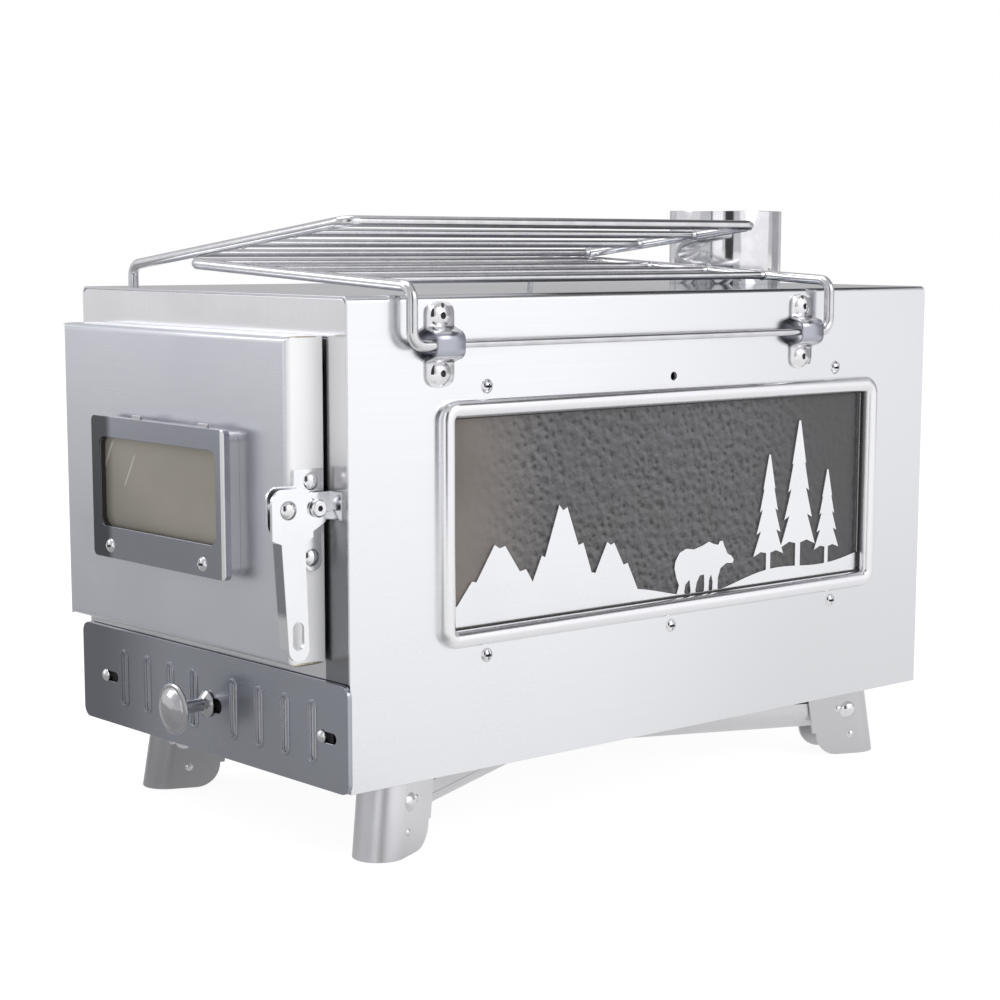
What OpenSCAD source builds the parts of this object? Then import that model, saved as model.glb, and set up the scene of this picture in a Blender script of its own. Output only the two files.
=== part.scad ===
// Tent wood stove: a folded stainless-steel firebox with a glazed door, two
// glazed sides, an ash drawer with a sliding air shutter, two wire racks that
// fold over the top, and four half-pipe legs that fold under the floor.
//
// Millimetres. The modules draw in stove coordinates: x is 0 midway between the
// sides, y is 0 at the outside of the front plate and grows to the rear, and z is
// 0 at the lower edge of the side panels. place() then moves every piece so that
// the origin is the middle of the whole object's footprint, on the ground.

/* [Body] */
// Outside width over the side panels
body_w = 211; // [200:1:260]
// Outside length from the front plate to the back plate
body_l = 376; // [370:1:460]
// Outside height of the side panels
body_h = 210; // [208:1:240]
// Thickness of the folded sheet steel
sheet = 1.2; // [1:0.1:1.5]
// Outside radius of the folds between the panels
fold_r = 3; // [2:0.5:5]
// Depth of the turned-back edge of the front and back plates
return_d = 3.6; // [3.2:0.1:4.5]
// Height of the side panels' lower edge above the ground
stand_h = 36; // [34:1:44]

/* [Flue] */
// Outside diameter of the flue collar
flue_d = 60.4; // [50:0.2:66]
// Height of the collar above the hot plate
flue_h = 38.8; // [34:0.2:60]
// Distance from the collar's axis to the back plate
flue_back = 41; // [41:1:44]
// Wall of the collar
flue_wall = 1; // [0.8:0.1:1.6]

/* [Door] */
// Distance from the door pan's edge to the side panel's outside
door_side = 15; // [14:0.5:17]
// Height of the door pan
door_h = 138; // [134:1:142]
// Height of the door's lower edge
door_z = 55.5; // [53:0.5:58]
// Depth of the door pan
door_d = 18.5; // [17:0.5:20]
// Gap between the closed door and the front plate
door_gap = 1.5; // [1.2:0.1:2]
// Overlap of the door past the firebox mouth on each side
door_lap = 12.5; // [8:0.5:16]
// Radius of the door's folds
door_fold = 3; // [2:0.5:4]

/* [Door window] */
// Width of the window's cover
cover_w = 107.6; // [100:0.2:112]
// Height of the window's cover
cover_h = 64.5; // [63:0.5:68]
// Sideways place of the window's middle on the door
cover_x = 3.2; // [-10:0.2:10]
// Height of the cover's lower edge
cover_z = 88.8; // [80:0.2:95]
// How far the cover stands in front of the door
cover_out = 9.2; // [8.6:0.1:9.8]
// Depth of the cover's turned edge
cover_d = 3.4; // [3:0.1:5]
// Width of the opening in the cover
view_w = 94.5; // [80:0.5:95]
// Height of the opening in the cover
view_h = 40.6; // [34:0.2:41]
// Height of the border under the opening
view_sill = 14.5; // [14:0.5:15.5]
// Corner radius of the openings
view_r = 4.5; // [3:0.5:8]
// Thickness of the door glass
door_glass_t = 3; // [2:0.5:3.5]

/* [Side windows] */
// Distance from the front plate to the rim of the window
win_y = 47.5; // [44:0.5:52]
// Distance from the rim's rear end to the back plate
win_rear = 40; // [36:0.5:50]
// Height of the rim's lower edge
win_z = 56.3; // [55:0.1:60]
// Distance from the rim's upper edge to the hot plate
win_top = 45; // [43.5:0.1:52]
// Width of the rim's rounded bead
bead_w = 8; // [7:0.5:9]
// How far the bead stands out from the side
bead_out = 5; // [4.6:0.1:5.2]
// Outside corner radius of the rim
rim_r = 9; // [9:0.5:14]
// Thickness of the side glass
side_glass_t = 4; // [3:0.5:5]
// Thickness of the cut-out picture plate
picture_t = 1; // [0.8:0.1:1.2]
// Distance from the rim's front end to the first window screw
screw_front = 27.9; // [20:0.1:40]
// Distance from the rim's rear end to the last window screw
screw_rear = 30.2; // [20:0.1:40]

/* [Air plate and ash drawer] */
// Overhang of the air plate past each side
air_over = 2.4; // [0:0.2:4]
// Height of the air plate
air_h = 47; // [45:0.5:50]
// Gap between the air plate's edge and the front plate
air_gap = 0.8; // [0.6:0.1:1.2]
// Depth of the air plate with its turned edge
air_d = 2.4; // [2.4:0.1:3]
// Corner radius of the air plate
air_r = 5; // [3:0.5:8]
// Number of louvres in each half
louvre_n = 4; // [3:1:4]
// Distance from louvre to louvre
louvre_pitch = 20; // [18:0.5:21]
// Length of a louvre
louvre_l = 25; // [20:0.5:26]
// Width of a louvre's slot
louvre_w = 3.6; // [3:0.2:5]
// Distance from the ash tray's end to the back plate
tray_rear = 76; // [20:1:150]
// Distance from the ash tray to the side panel's outside
tray_side = 17.5; // [16.5:0.5:30]
// Height of the ash tray
tray_h = 25; // [20:0.5:27]
// Sideways travel of the air shutter
shutter_travel = 8; // [6:0.5:9]
// Diameter of the knob
knob_d = 23.6; // [20:0.2:28]
// Reach of the knob in front of the air plate
knob_out = 23; // [20:0.5:26]

/* [Latch] */
// Height of the latch lever's pivot
latch_z = 122.5; // [118:0.5:126]
// Distance of the lever's pivot in front of the door pan
latch_out = 3.8; // [3:0.1:5]
// Distance from the lever's pivot to the striker pin
latch_reach = 14.3; // [13.8:0.1:15]
// Radius of the striker pin's shaft
striker_r = 1.6; // [1.3:0.1:1.8]
// Thickness of the lever and of the latch plate
lever_t = 1.5; // [1.2:0.1:1.8]
// Length of the handle below the pivot
handle_l = 63.8; // [50:0.1:66]
// Depth of the handle's turned front edge
handle_fold = 6.5; // [5:0.1:7.5]

/* [Racks] */
// Thickness of the racks' frame wire
wire_d = 5; // [4.4:0.1:5.5]
// Thickness of the racks' inner bars
bar_d = 4; // [3:0.1:4.4]
// Gap between the racks' rear arms and the flue collar
rack_gap = 11.8; // [9:0.1:20]
// How much nearer to the middle the left rack's arms stand than the right's, in front
rack_step_front = 2.7; // [0:0.1:4]
// How much nearer to the middle the left rack's arms stand than the right's, at the rear
rack_step_rear = 2; // [0:0.1:4]
// Distance from the front plate to the right rack's near arm
right_rack_y = 29.3; // [27:0.1:32]
// Distance from a rack's near arm to the middle of its front hinge clip
clip_front = 19.2; // [17:0.1:24]
// Distance from a rack's rear arm to the middle of its rear hinge clip
clip_rear = 14.3; // [14:0.1:24]
// Reach of the right rack's arms
right_arm = 166.5; // [150:0.5:170]
// Reach of the left rack's arms
left_arm = 174.5; // [150:0.5:178]
// Height of the right rack's legs above the hinge
right_rack_leg = 24.8; // [24.6:0.1:27]
// Height of the left rack's legs above the hinge
left_rack_leg = 30.8; // [30:0.1:34]
// Rise of the right rack's arms in degrees
right_rise = 2.6; // [2.2:0.1:3.2]
// Distance between a rack's bars
bar_pitch = 41; // [34:0.5:42]
// Distance of the racks' hinge below the hot plate
hinge_drop = 21; // [19:0.5:21.5]
// Distance of the racks' hinge out from the side panel
hinge_out = 6; // [5.5:0.1:8]
// Bend radius of the wire, to its middle
bend_r = 6; // [5:0.5:6.5]
// Width of a hinge clip
clip_w = 11; // [9:0.5:12]

/* [Legs] */
// Distance of a leg's pivot from the side panel's face
leg_in = 22.2; // [21:0.2:24]
// Distance of a leg's pivot from the end plates
leg_end = 36; // [34:0.5:44]
// Depth of a leg's pivot below the panels' lower edge
leg_drop = 12; // [11.8:0.1:14]
// Turn of the legs away from the length of the stove, in degrees
leg_yaw = 24; // [20:1:27]
// Outward lean of the brackets, in degrees
leg_lean = 9; // [4:1:12]
// Half of a bracket's width
bracket_hw = 12; // [11:0.1:13]
// Thickness of a bracket
bracket_t = 1.5; // [1.2:0.1:1.8]
// Reach of a bracket's ears past the pivot
ear_reach = 21.3; // [18:0.1:24]
// Gap between a folded leg's foot and the middle of the stove
leg_gap = 15; // [12:0.5:40]
// Thickness of a leg
leg_t = 1.2; // [1:0.1:1.5]
// Radius of a leg's pivot pin
leg_pin_r = 2.5; // [2:0.1:3]

/* [Clearances] */
// Radial clearance between a hinge pin and what turns on it
pin_clr = 0.08; // [0.04:0.01:0.1]
// Gap between parts that slide or turn past each other
slide_clr = 0.3; // [0.25:0.05:0.4]
// Gap round the ash tray in its mouth
tray_clr = 0.8; // [0.5:0.1:1.2]
// Side clearance of a leg in its bracket
leg_clr = 0.5; // [0.4:0.1:0.8]
// Gap round a glass in its seat
glass_clr = 0.5; // [0.3:0.1:0.8]

/* [Hidden] */
$fn = 64;
EPS = 0.01;

// body
inner_w = body_w - 2 * sheet;
inner_top = body_h - sheet;
side_x = body_w / 2;
inner_x = inner_w / 2;
flange_h = 10;
flange_clr = 8;
mouth_r = 6;
flue_bore_r = flue_d / 2 - flue_wall;

// ash tray, its mouth and the grate above
tray_l = body_l - tray_rear;
tray_w = body_w - 2 * tray_side;
tray_z = sheet + slide_clr;
mouth_top = tray_z + tray_h + tray_clr;
tray_lip_h = 7;
grate_z = mouth_top + 12;
grate_flange = 8;
grate_end = 14;
grate_slot_w = 8;
grate_slot_l = 44;
grate_slot_pitch = 20;
grate_rows = 3;

// door planes, all measured from the front plate's outside
door_w = body_w - 2 * door_side;
door_back = -door_gap;
door_face = door_back - door_d;
cover_face = door_face - cover_out;
cover_inset = 1.8;
glass_face = cover_face + sheet;
glass_back = glass_face + door_glass_t;
glass_lap = 4.7;
door_glass_w = cover_w - 2 * (cover_inset + sheet + glass_clr);
view_z = cover_z + view_sill;
door_edge = door_w / 2;
cover_screw_z = cover_z + 5.6;
cover_screw_x = [-39, 36.5];
cover_head_r = 3.3;
cover_r = 2.6;
cover_head_h = 1.9;
tab_x = [-17.2, 36.4];
tab_w = 7;
tab_h = 1.6;

// side window
win_l = body_l - win_y - win_rear;
win_h = body_h - win_z - win_top;
win_in = bead_w;
view_corner = rim_r - bead_w + EPS;
seat_lap = 5;
screw_edge = 5.1;
screw_y0 = win_y + screw_front;
screw_pitch = (win_l - screw_front - screw_rear) / 2;
frame_flange = 10.5;
small_screw_r = 1.9;
small_head_r = 2.8;
small_head_h = 1.8;

// air plate and shutter
air_face = -air_gap - air_d;
air_z = 0.3;
louvre_x = [-70, 22];
louvre_rim = 1.5;
louvre_proud = 0.6;
guide_x = [-86.5, 89.2];
knob_x = 1.5;
guide_z = air_z + air_h / 2 - 0.4;
guide_r = 2;
guide_head_r = 3;
guide_head_h = 1.6;
stud_r = 3;
stud_nut_r = 3.6;
shutter_face = air_face + sheet + slide_clr;
shutter_t = 0.8;
shutter_h = louvre_l + 4;
shutter_x0 = -92.5;
shutter_x1 = 95.2;

// latch: x planes outward from the door's right edge
latch_y = door_face - latch_out;
latch_plate_x1 = door_edge + lever_t;
tab_x0 = latch_plate_x1 + 0.9;
tab_x1 = tab_x0 + lever_t;
lever_x0 = tab_x1 + 0.4;
lever_x1 = lever_x0 + lever_t;
striker_x0 = lever_x1 + 0.4;
pivot_r = 2.5;
rivet_r = 2.2;
rivet_head_r = 3.8;
rivet_head_h = 1.5;
lever_front = 8.2;
cam_r = latch_reach - striker_r - 0.4;
rivet_y = -9.3;
upper_rivet_z = latch_z + 10.9;
lower_rivet_z = latch_z - 21.3;
tab_top = latch_z + 6.4;
tab_bottom = latch_z - 5.5;
tab_reach = latch_reach + striker_r - 1.8;
tab_ear_r = 5;
tab_foot = 9;
plate_nose_y = -31.5;
plate_back_y = -3;
plate_neck_y = -18;
plate_down = 10.5;
plate_h = 20;
plate_r = 5;
plate_top = 5.2;
plate_tail_y = -8.5;
plate_tail_r = 4.3;
plate_tail_drop = 1.5;
collar_r = 4;
pivot_head_h = 1.8;
cam_low = 12.1;
cam_top = 8.6;
cam_round = 5.8;
cam_taper = 1.9;
cam_front = 4.6;
cam_rear = 8;
cam_rear_low = 12;
hook_y = 18.4;
hook_tip_y = 20.9;
hook_low = 6.1;
hook_root_y = 12.5;
hook_root_low = 9.4;
handle_r = 5.15;
handle_back = 0.6;
finger_w = 5.8;
finger_l = 12;
finger_y = 4.2;
finger_up = 10.8;
edge_top = 13.9;
edge_y = 3.6;
edge_bottom = 5.6;
edge_slant = 3;
edge_ease = 0.4;

// door hinges
hinge_z = [85, 165];
door_pin_out = 5.5;
ear_leaf = 6;
ear_more = 3;
door_pin_x = -door_edge - door_pin_out;
door_pin_y = -10;
door_pin_r = 2;
prong_t = 1.3;
prong_gap = 5;
prong_r = 3.9;
barrel_r = 3.6;

// racks
hinge_z_rack = body_h - hinge_drop;
hinge_x = side_x + hinge_out;
right_rack_l = body_l - flue_back - flue_d / 2 - rack_gap - right_rack_y;
left_rack_y = right_rack_y + rack_step_front;
left_rack_l = right_rack_l - rack_step_front - rack_step_rear;
clip_y = [right_rack_y + clip_front, right_rack_y + right_rack_l - clip_rear];
clip_t = 1.2;
clip_bottom = -17;
clip_top = 19;
clip_rivet_dz = 12.3;
clip_bore = wire_d / 2 + pin_clr;
// Free bar of the right rack, on which the left rack's arms lie
free_dx = 2 * hinge_x - right_arm * cos(right_rise);
free_dz = right_rack_leg - left_rack_leg + right_arm * sin(right_rise);
left_rise = atan2(free_dz, free_dx)
    + asin((wire_d + slide_clr) / norm([free_dx, free_dz]));
bar_poke = 1.2;
weld = 0.04;

// legs
bracket_back = 3.2;
leg_l = (body_l / 2 - leg_end - leg_gap) / cos(leg_yaw);
leg_hw = bracket_hw - bracket_t - leg_clr;
leg_start = 4;
leg_rise = 4;
leg_bottom = stand_h - leg_drop;
ear_round = 12;
leg_head_r = 4.4;
leg_head_h = 2;
big = 80;

// the object's reach in front, for the origin
front_reach = max(-latch_y + lever_front, -air_face + knob_out);
mid_y = (body_l - front_reach) / 2;

SIDES = [1, -1];
LEGS = [
    ["front_right_leg", 1, 0, 90 + leg_yaw],
    ["front_left_leg", -1, 0, 90 - leg_yaw],
    ["rear_right_leg", 1, 1, 270 - leg_yaw],
    ["rear_left_leg", -1, 1, 270 + leg_yaw]
];

// ---------------------------------------------------------------- helpers

module place() {
    translate([0, -mid_y, stand_h]) children();
}

// Rectangle with round corners, centred
module round_rect(w, h, r) {
    square([w - 2 * r, h], center = true);
    square([w, h - 2 * r], center = true);
    for (sx = SIDES, sy = SIDES)
        translate([sx * (w / 2 - r), sy * (h / 2 - r)]) circle(r);
}

// Slot with round ends, upright
module slot_2d(w, l) {
    square([w, l - w], center = true);
    for (s = SIDES)
        translate([0, s * (l - w) / 2]) circle(w / 2);
}

// Extrudes an outline drawn in (x, z) from the plane y0 back to y0 + d
module along_y(y0, d) {
    translate([0, y0 + d, 0]) rotate([90, 0, 0]) linear_extrude(d) children();
}

// Extrudes an outline drawn in (y, z) from the plane x0 out to x0 + d
module along_x(x0, d) {
    translate([x0, 0, 0]) rotate([90, 0, 90]) linear_extrude(d) children();
}

module on_right() {
    children();
}

module on_left() {
    mirror([1, 0, 0]) children();
}

// Cylinder from (x0, y, z) along +x
module x_pin(x0, x1, y, z, r) {
    translate([x0, y, z]) rotate([0, 90, 0]) cylinder(r = r, h = x1 - x0);
}

// Cylinder from (x, y0, z) along +y
module y_pin(x, y0, y1, z, r) {
    translate([x, y0, z]) rotate([-90, 0, 0]) cylinder(r = r, h = y1 - y0);
}

// Domed rivet head standing on z = 0
module dome(r, h) {
    ball = (r * r + h * h) / (2 * h);
    intersection() {
        translate([0, 0, h - ball]) sphere(ball);
        translate([-r, -r, 0]) cube([2 * r, 2 * r, h + 1]);
    }
}

// ---------------------------------------------------------------- body

module shell_outline(w, h, r) {
    translate([-w / 2, 0]) square([w, h - r]);
    translate([-w / 2 + r, 0]) square([w - 2 * r, h]);
    for (s = SIDES)
        translate([s * (w / 2 - r), h - r]) circle(r);
}

module window_opening(grow) {
    translate([win_y + win_l / 2, win_z + win_h / 2])
        round_rect(win_l - 2 * win_in + 2 * grow, win_h - 2 * win_in + 2 * grow, view_corner + grow);
}

module window_screw_points(skip_middle) {
    for (k = [0:2], top = [0, 1])
        if (!(skip_middle && k == 1 && top == 1))
            translate([screw_y0 + k * screw_pitch, top == 1 ? win_z + win_h + screw_edge : win_z - screw_edge])
                children();
}

module body_shell() {
    color("gainsboro") place() difference() {
        along_y(0, body_l) difference() {
            shell_outline(body_w, body_h, fold_r);
            translate([0, -EPS]) shell_outline(inner_w, inner_top + EPS, max(fold_r - sheet, 0.6));
        }
        along_x(-side_x - 1, body_w + 2) window_opening(0);
        along_x(-side_x - 1, body_w + 2)
            window_screw_points(false) circle(small_screw_r + 0.1);
        translate([0, body_l - flue_back, inner_top - 1]) 
            cylinder(r = flue_bore_r, h = sheet + 2, $fn = 96);
    }
}

module end_plate() {
    difference() {
        along_y(0, return_d) intersection() {
            translate([0, sheet]) shell_outline(inner_w, inner_top - sheet, fold_r);
            translate([-side_x, sheet]) square([body_w, body_h]);
        }
        along_y(sheet, return_d) translate([0, -EPS])
            shell_outline(inner_w - 2 * sheet, inner_top - sheet, fold_r - 0.5);
    }
}

module front_plate() {
    color("lightgray") place() difference() {
        end_plate();
        along_y(-1, return_d + 2) {
            translate([0, door_z + door_h / 2])
                round_rect(door_w - 2 * door_lap, door_h - 2 * door_lap, mouth_r);
            translate([-tray_w / 2 - tray_clr, sheet - 1])
                square([tray_w + 2 * tray_clr, mouth_top - sheet + 1]);
        }
    }
}

module back_plate() {
    color("lightgray") place()
        translate([0, body_l, 0]) mirror([0, 1, 0]) end_plate();
}

module floor_pan() {
    color("silver") place() {
        translate([-inner_x, 0, 0]) cube([inner_w, body_l, sheet]);
        for (s = SIDES)
            translate([s > 0 ? inner_x - sheet : -inner_x, flange_clr, 0])
                cube([sheet, body_l - 2 * flange_clr, flange_h]);
    }
}

module fire_grate() {
    grate_l = body_l - 2 * grate_end;
    columns = floor((grate_l - 20) / grate_slot_pitch);
    color("dimgray") place() translate([0, grate_end, grate_z]) difference() {
        union() {
            translate([-inner_x, 0, 0]) cube([inner_w, grate_l, sheet]);
            for (s = SIDES)
                translate([s > 0 ? inner_x - sheet : -inner_x, 0, -grate_flange])
                    cube([sheet, grate_l, grate_flange + sheet]);
        }
        for (row = [0:grate_rows - 1], column = [0:columns - 1])
            translate([
                (row - (grate_rows - 1) / 2) * inner_w / (grate_rows + 0.2),
                grate_l / 2 + (column - (columns - 1) / 2) * grate_slot_pitch,
                -1
            ])
                linear_extrude(sheet + 2) rotate(90) slot_2d(grate_slot_w, grate_slot_l);
    }
}

// Pipe collar, welded on the hot plate around the flue hole
module flue_collar() {
    color("silver") place() translate([0, body_l - flue_back, body_h]) difference() {
        cylinder(d = flue_d, h = flue_h, $fn = 96);
        translate([0, 0, -1]) cylinder(r = flue_bore_r, h = flue_h + 2, $fn = 96);
    }
}

// ---------------------------------------------------------------- side windows

// Half-round bead on a short straight foot; u is across the bead
module bead_2d() {
    round_w = bead_w / 2;
    translate([0, 0]) square([bead_w, bead_out - round_w]);
    translate([round_w, bead_out - round_w]) intersection() {
        circle(round_w);
        translate([-round_w, 0]) square([bead_w, round_w]);
    }
}

module rim_corner() {
    rotate_extrude(angle = 90) translate([rim_r - bead_w, 0]) bead_2d();
}

module rim_bar(l) {
    rotate([90, 0, 0]) translate([0, 0, -l]) linear_extrude(l)
        translate([rim_r - bead_w, 0]) bead_2d();
}

module window_rim() {
    run_l = win_l - 2 * rim_r;
    run_h = win_h - 2 * rim_r;
    color("silver") place() translate([side_x, win_y + win_l / 2, win_z + win_h / 2])
        rotate([90, 0, 90]) {
            for (sx = [0, 1], sy = [0, 1])
                translate([(sx - 0.5) * run_l, (sy - 0.5) * run_h, 0])
                    rotate(sx == 1 ? (sy == 1 ? 0 : 270) : (sy == 1 ? 90 : 180)) rim_corner();
            for (s = [0, 1]) {
                rotate(s * 180) translate([run_l / 2, -run_h / 2, 0]) rim_bar(run_h);
                rotate(90 + s * 180) translate([run_h / 2, -run_l / 2, 0]) rim_bar(run_l);
            }
        }
}

// A pine: tiers of branches on a trunk, standing on (0, 0)
module pine_2d(h, w) {
    tiers = 4;
    translate([-w * 0.07, -3]) square([w * 0.14, h * 0.4 + 3]);
    for (k = [0:tiers - 1]) {
        base = h * (0.16 + 0.19 * k);
        half = w / 2 * (1 - 0.2 * k);
        tip = k == tiers - 1 ? h : base + h * 0.36;
        polygon([
            [-half, base - h * 0.035],
            [-half * 0.5, base],
            [0, base - h * 0.02],
            [half * 0.5, base],
            [half, base - h * 0.035],
            [half * 0.12, tip],
            [-half * 0.12, tip]
        ]);
    }
}

// A mountain with a steep and a gentle flank and a notched summit
module peak_2d(w, h) {
    polygon([
        [-w * 0.5, -3],
        [-w * 0.24, h * 0.52],
        [-w * 0.2, h * 0.5],
        [-w * 0.03, h],
        [w * 0.02, h * 0.94],
        [w * 0.07, h * 0.97],
        [w * 0.21, h * 0.58],
        [w * 0.27, h * 0.6],
        [w * 0.5, -3]
    ]);
}

// Standing bear, made of round limbs, facing +x
// Walking bear, nose towards the flue, feet at 0
module bear_2d() {
    head = [[18.8, 15.1], [23.4, 14.8], [24.2, 16.4], [22.6, 18.4], [19.6, 19.9], [18, 22.8], [17.2, 23.8]];
    ear = [[16.2, 26.4], [14.2, 26.5], [13.2, 24.6]];
    back = [[10, 25.4], [6.4, 26.8], [2, 25.2], [-4, 24], [-9.2, 24.8], [-13.6, 23], [-16.4, 19.2], [-16.9, 16]];
    hind = [[-15.6, 11], [-13.8, 7.4], [-15.4, 2.8], [-15.2, 0], [-8.8, 0], [-8.6, 1.9], [-10.2, 3.7], [-9.4, 7.4]];
    far_hind = [[-6.6, 9.4], [-5.8, 4], [-6.2, 0], [-0.9, 0], [-0.8, 1.8], [-2.6, 3.6], [-1.6, 7.6], [0.4, 10.8]];
    far_fore = [[3.4, 11], [3.6, 5], [3, 0], [7.8, 0], [7.9, 1.7], [6.6, 3.4], [6.9, 8], [8.3, 10.6]];
    fore = [[9.4, 6.8], [9.1, 0], [14.4, 0], [14.5, 1.8], [12.9, 3.6], [13.1, 8.6], [14.8, 13]];
    polygon(concat(head, ear, back, hind, far_hind, far_fore, fore));
}

function ground(t) = 6 + 4 * sin(t * 420 + 30) + 2.5 * sin(t * 1100);

// The cut-out picture: hills, a bear, a group of pines and a far range
module picture_2d() {
    open_l = win_l - 2 * win_in;
    open_h = win_h - 2 * win_in;
    steps = 60;
    bear_at = 0.57;
    translate([win_y + win_in, win_z + win_in]) {
        polygon(concat(
            [[-seat_lap, -seat_lap]],
            [for (k = [0:steps]) [-seat_lap + (open_l + 2 * seat_lap) * k / steps, ground(k / steps)]],
            [[open_l + seat_lap, -seat_lap]]
        ));
        translate([open_l * 0.1, 4]) peak_2d(62, open_h * 0.34);
        translate([open_l * 0.24, 4]) peak_2d(50, open_h * 0.5);
        translate([open_l * 0.35, 3]) peak_2d(44, open_h * 0.3);
        translate([open_l * bear_at, ground(bear_at) - 1.5]) bear_2d();
        translate([open_l * 0.75, 7]) pine_2d(open_h * 0.62, 22);
        translate([open_l * 0.83, 8]) pine_2d(open_h * 0.78, 26);
        translate([open_l * 0.91, 8]) pine_2d(open_h * 0.5, 19);
    }
}

module picture_plate() {
    color("gainsboro") place() along_x(inner_x - picture_t, picture_t) {
        intersection() {
            window_opening(seat_lap);
            picture_2d();
        }
        difference() {
            window_opening(seat_lap);
            window_opening(-0.6);
        }
    }
}

module side_glass() {
    color([0.25, 0.24, 0.25, 0.7]) place()
        along_x(inner_x - picture_t - side_glass_t, side_glass_t) window_opening(seat_lap);
}

// Folded frame that clamps glass and picture against the panel from inside
module glass_frame() {
    pack = picture_t + side_glass_t;
    color("darkgray") place() difference() {
        union() {
            along_x(inner_x - sheet, sheet) window_opening(win_in + frame_flange);
            along_x(inner_x - pack - sheet, pack + sheet)
                window_opening(seat_lap + glass_clr + sheet);
        }
        along_x(inner_x - pack, pack + 1) window_opening(seat_lap + glass_clr);
        along_x(inner_x - pack - sheet - 1, pack + sheet + 2) window_opening(1);
        along_x(inner_x - sheet - 1, sheet + 2)
            window_screw_points(false) circle(small_screw_r + 0.1);
    }
}

module window_screw() {
    x_pin(inner_x - sheet - 3, side_x + 0.2, 0, 0, small_screw_r);
    translate([side_x, 0, 0]) rotate([0, 90, 0]) dome(small_head_r, small_head_h);
    x_pin(inner_x - sheet - 2.4, inner_x - sheet, 0, 0, small_head_r + 0.6);
}

// The right side lacks its middle upper screw and shows the empty hole
module window_screws() {
    color("silver") place() {
        on_right() side_screws(true);
        on_left() side_screws(false);
    }
}

module side_screws(skip_middle) {
    for (k = [0:2], top = [0, 1])
        if (!(skip_middle && k == 1 && top == 1))
            translate([
                0,
                screw_y0 + k * screw_pitch,
                top == 1 ? win_z + win_h + screw_edge : win_z - screw_edge
            ])
                window_screw();
}

// ---------------------------------------------------------------- rack hinges

module rack_clip() {
    outer = clip_bore + clip_t;
    difference() {
        union() {
            along_x(side_x, clip_t) translate([0, (clip_top + clip_bottom) / 2])
                round_rect(clip_w, clip_top - clip_bottom, clip_w / 2 - 0.5);
            y_pin(hinge_x, -clip_w / 2, clip_w / 2, 0, outer);
            translate([side_x, -clip_w / 2, -outer]) cube([hinge_out, clip_w, 2 * outer]);
        }
        y_pin(hinge_x, -clip_w, clip_w, 0, clip_bore);
    }
}

module side_clips() {
    for (y = clip_y)
        translate([0, y, hinge_z_rack]) rack_clip();
}

module rack_clips() {
    color("silver") place() {
        on_right() side_clips();
        on_left() side_clips();
    }
}

module side_clip_rivets() {
    for (y = clip_y, s = SIDES)
        translate([side_x + clip_t, y, hinge_z_rack + s * clip_rivet_dz])
            rotate([0, 90, 0]) dome(rivet_head_r, rivet_head_h);
}

module clip_rivets() {
    color("silver") place() {
        on_right() side_clip_rivets();
        on_left() side_clip_rivets();
    }
}

// ---------------------------------------------------------------- door hinges

module hinge_lug() {
    lug_h = prong_gap + 2 * prong_t;
    difference() {
        union() {
            for (z = [-lug_h / 2, prong_gap / 2])
                translate([door_pin_x, door_pin_y, z]) {
                    cylinder(r = prong_r, h = prong_t);
                    translate([-prong_r, 0, 0]) cube([2 * prong_r, -door_pin_y, prong_t]);
                }
            translate([door_pin_x - prong_r, -prong_t, -lug_h / 2]) cube([2 * prong_r, prong_t, lug_h]);
        }
        translate([door_pin_x, door_pin_y, -lug_h])
            cylinder(r = door_pin_r + 0.05, h = 2 * lug_h);
    }
}

module hinge_lugs() {
    color("gray") place()
        for (z = hinge_z)
            translate([0, 0, z]) hinge_lug();
}

module hinge_pins() {
    pin_h = prong_gap + 2 * prong_t;
    color("silver") place()
        for (z = hinge_z)
            translate([door_pin_x, door_pin_y, z]) {
                translate([0, 0, -pin_h / 2 - 0.6]) cylinder(r = door_pin_r, h = pin_h + 1.2);
                translate([0, 0, pin_h / 2]) cylinder(r = door_pin_r + 1, h = 1);
            }
}

// ---------------------------------------------------------------- striker

module striker_tab() {
    color("lightgray") place() {
        difference() {
            along_x(tab_x0, lever_t) {
                translate([-tab_reach + tab_ear_r, tab_bottom])
                    square([tab_reach - tab_ear_r, tab_top - tab_bottom]);
                translate([-tab_reach, tab_bottom + tab_ear_r])
                    square([tab_reach, tab_top - tab_bottom - 2 * tab_ear_r]);
                for (z = [tab_bottom + tab_ear_r, tab_top - tab_ear_r])
                    translate([-tab_reach + tab_ear_r, z]) circle(tab_ear_r);
            }
            x_pin(tab_x0 - 1, tab_x1 + 1, latch_y + latch_reach, latch_z, striker_r - 0.4);
        }
        translate([tab_x0, -sheet, tab_bottom]) cube([tab_foot, sheet, tab_top - tab_bottom]);
    }
}

module striker_pin() {
    y = latch_y + latch_reach;
    color("silver") place() difference() {
        union() {
            x_pin(tab_x0, tab_x1, y, latch_z, striker_r - 0.45);
            x_pin(tab_x1, striker_x0 + 0.5, y, latch_z, striker_r);
            x_pin(striker_x0, striker_x0 + 2.2, y, latch_z, 3.8);
        }
        x_pin(striker_x0 + 0.8, striker_x0 + 4, y, latch_z, 1.2);
    }
}

// ---------------------------------------------------------------- door

// Outline of a folded edge: (x, y) with the rounded front face at y = 0
module folded_profile(w, d, r) {
    translate([-w / 2, r]) square([w, d - r]);
    translate([-w / 2 + r, 0]) square([w - 2 * r, d]);
    for (s = SIDES)
        translate([s * (w / 2 - r), r]) circle(r);
}

// Folded pan standing upright, open to the rear, lower edge on z = 0
module folded_block(w, h, d, r) {
    intersection() {
        linear_extrude(h) folded_profile(w, d, r);
        translate([w / 2, 0, h / 2]) rotate([0, -90, 0]) linear_extrude(w) folded_profile(h, d, r);
    }
}

module door_view(grow) {
    translate([cover_x, view_z + view_h / 2])
        round_rect(view_w + 2 * grow, view_h + 2 * grow, view_r + grow);
}

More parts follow.
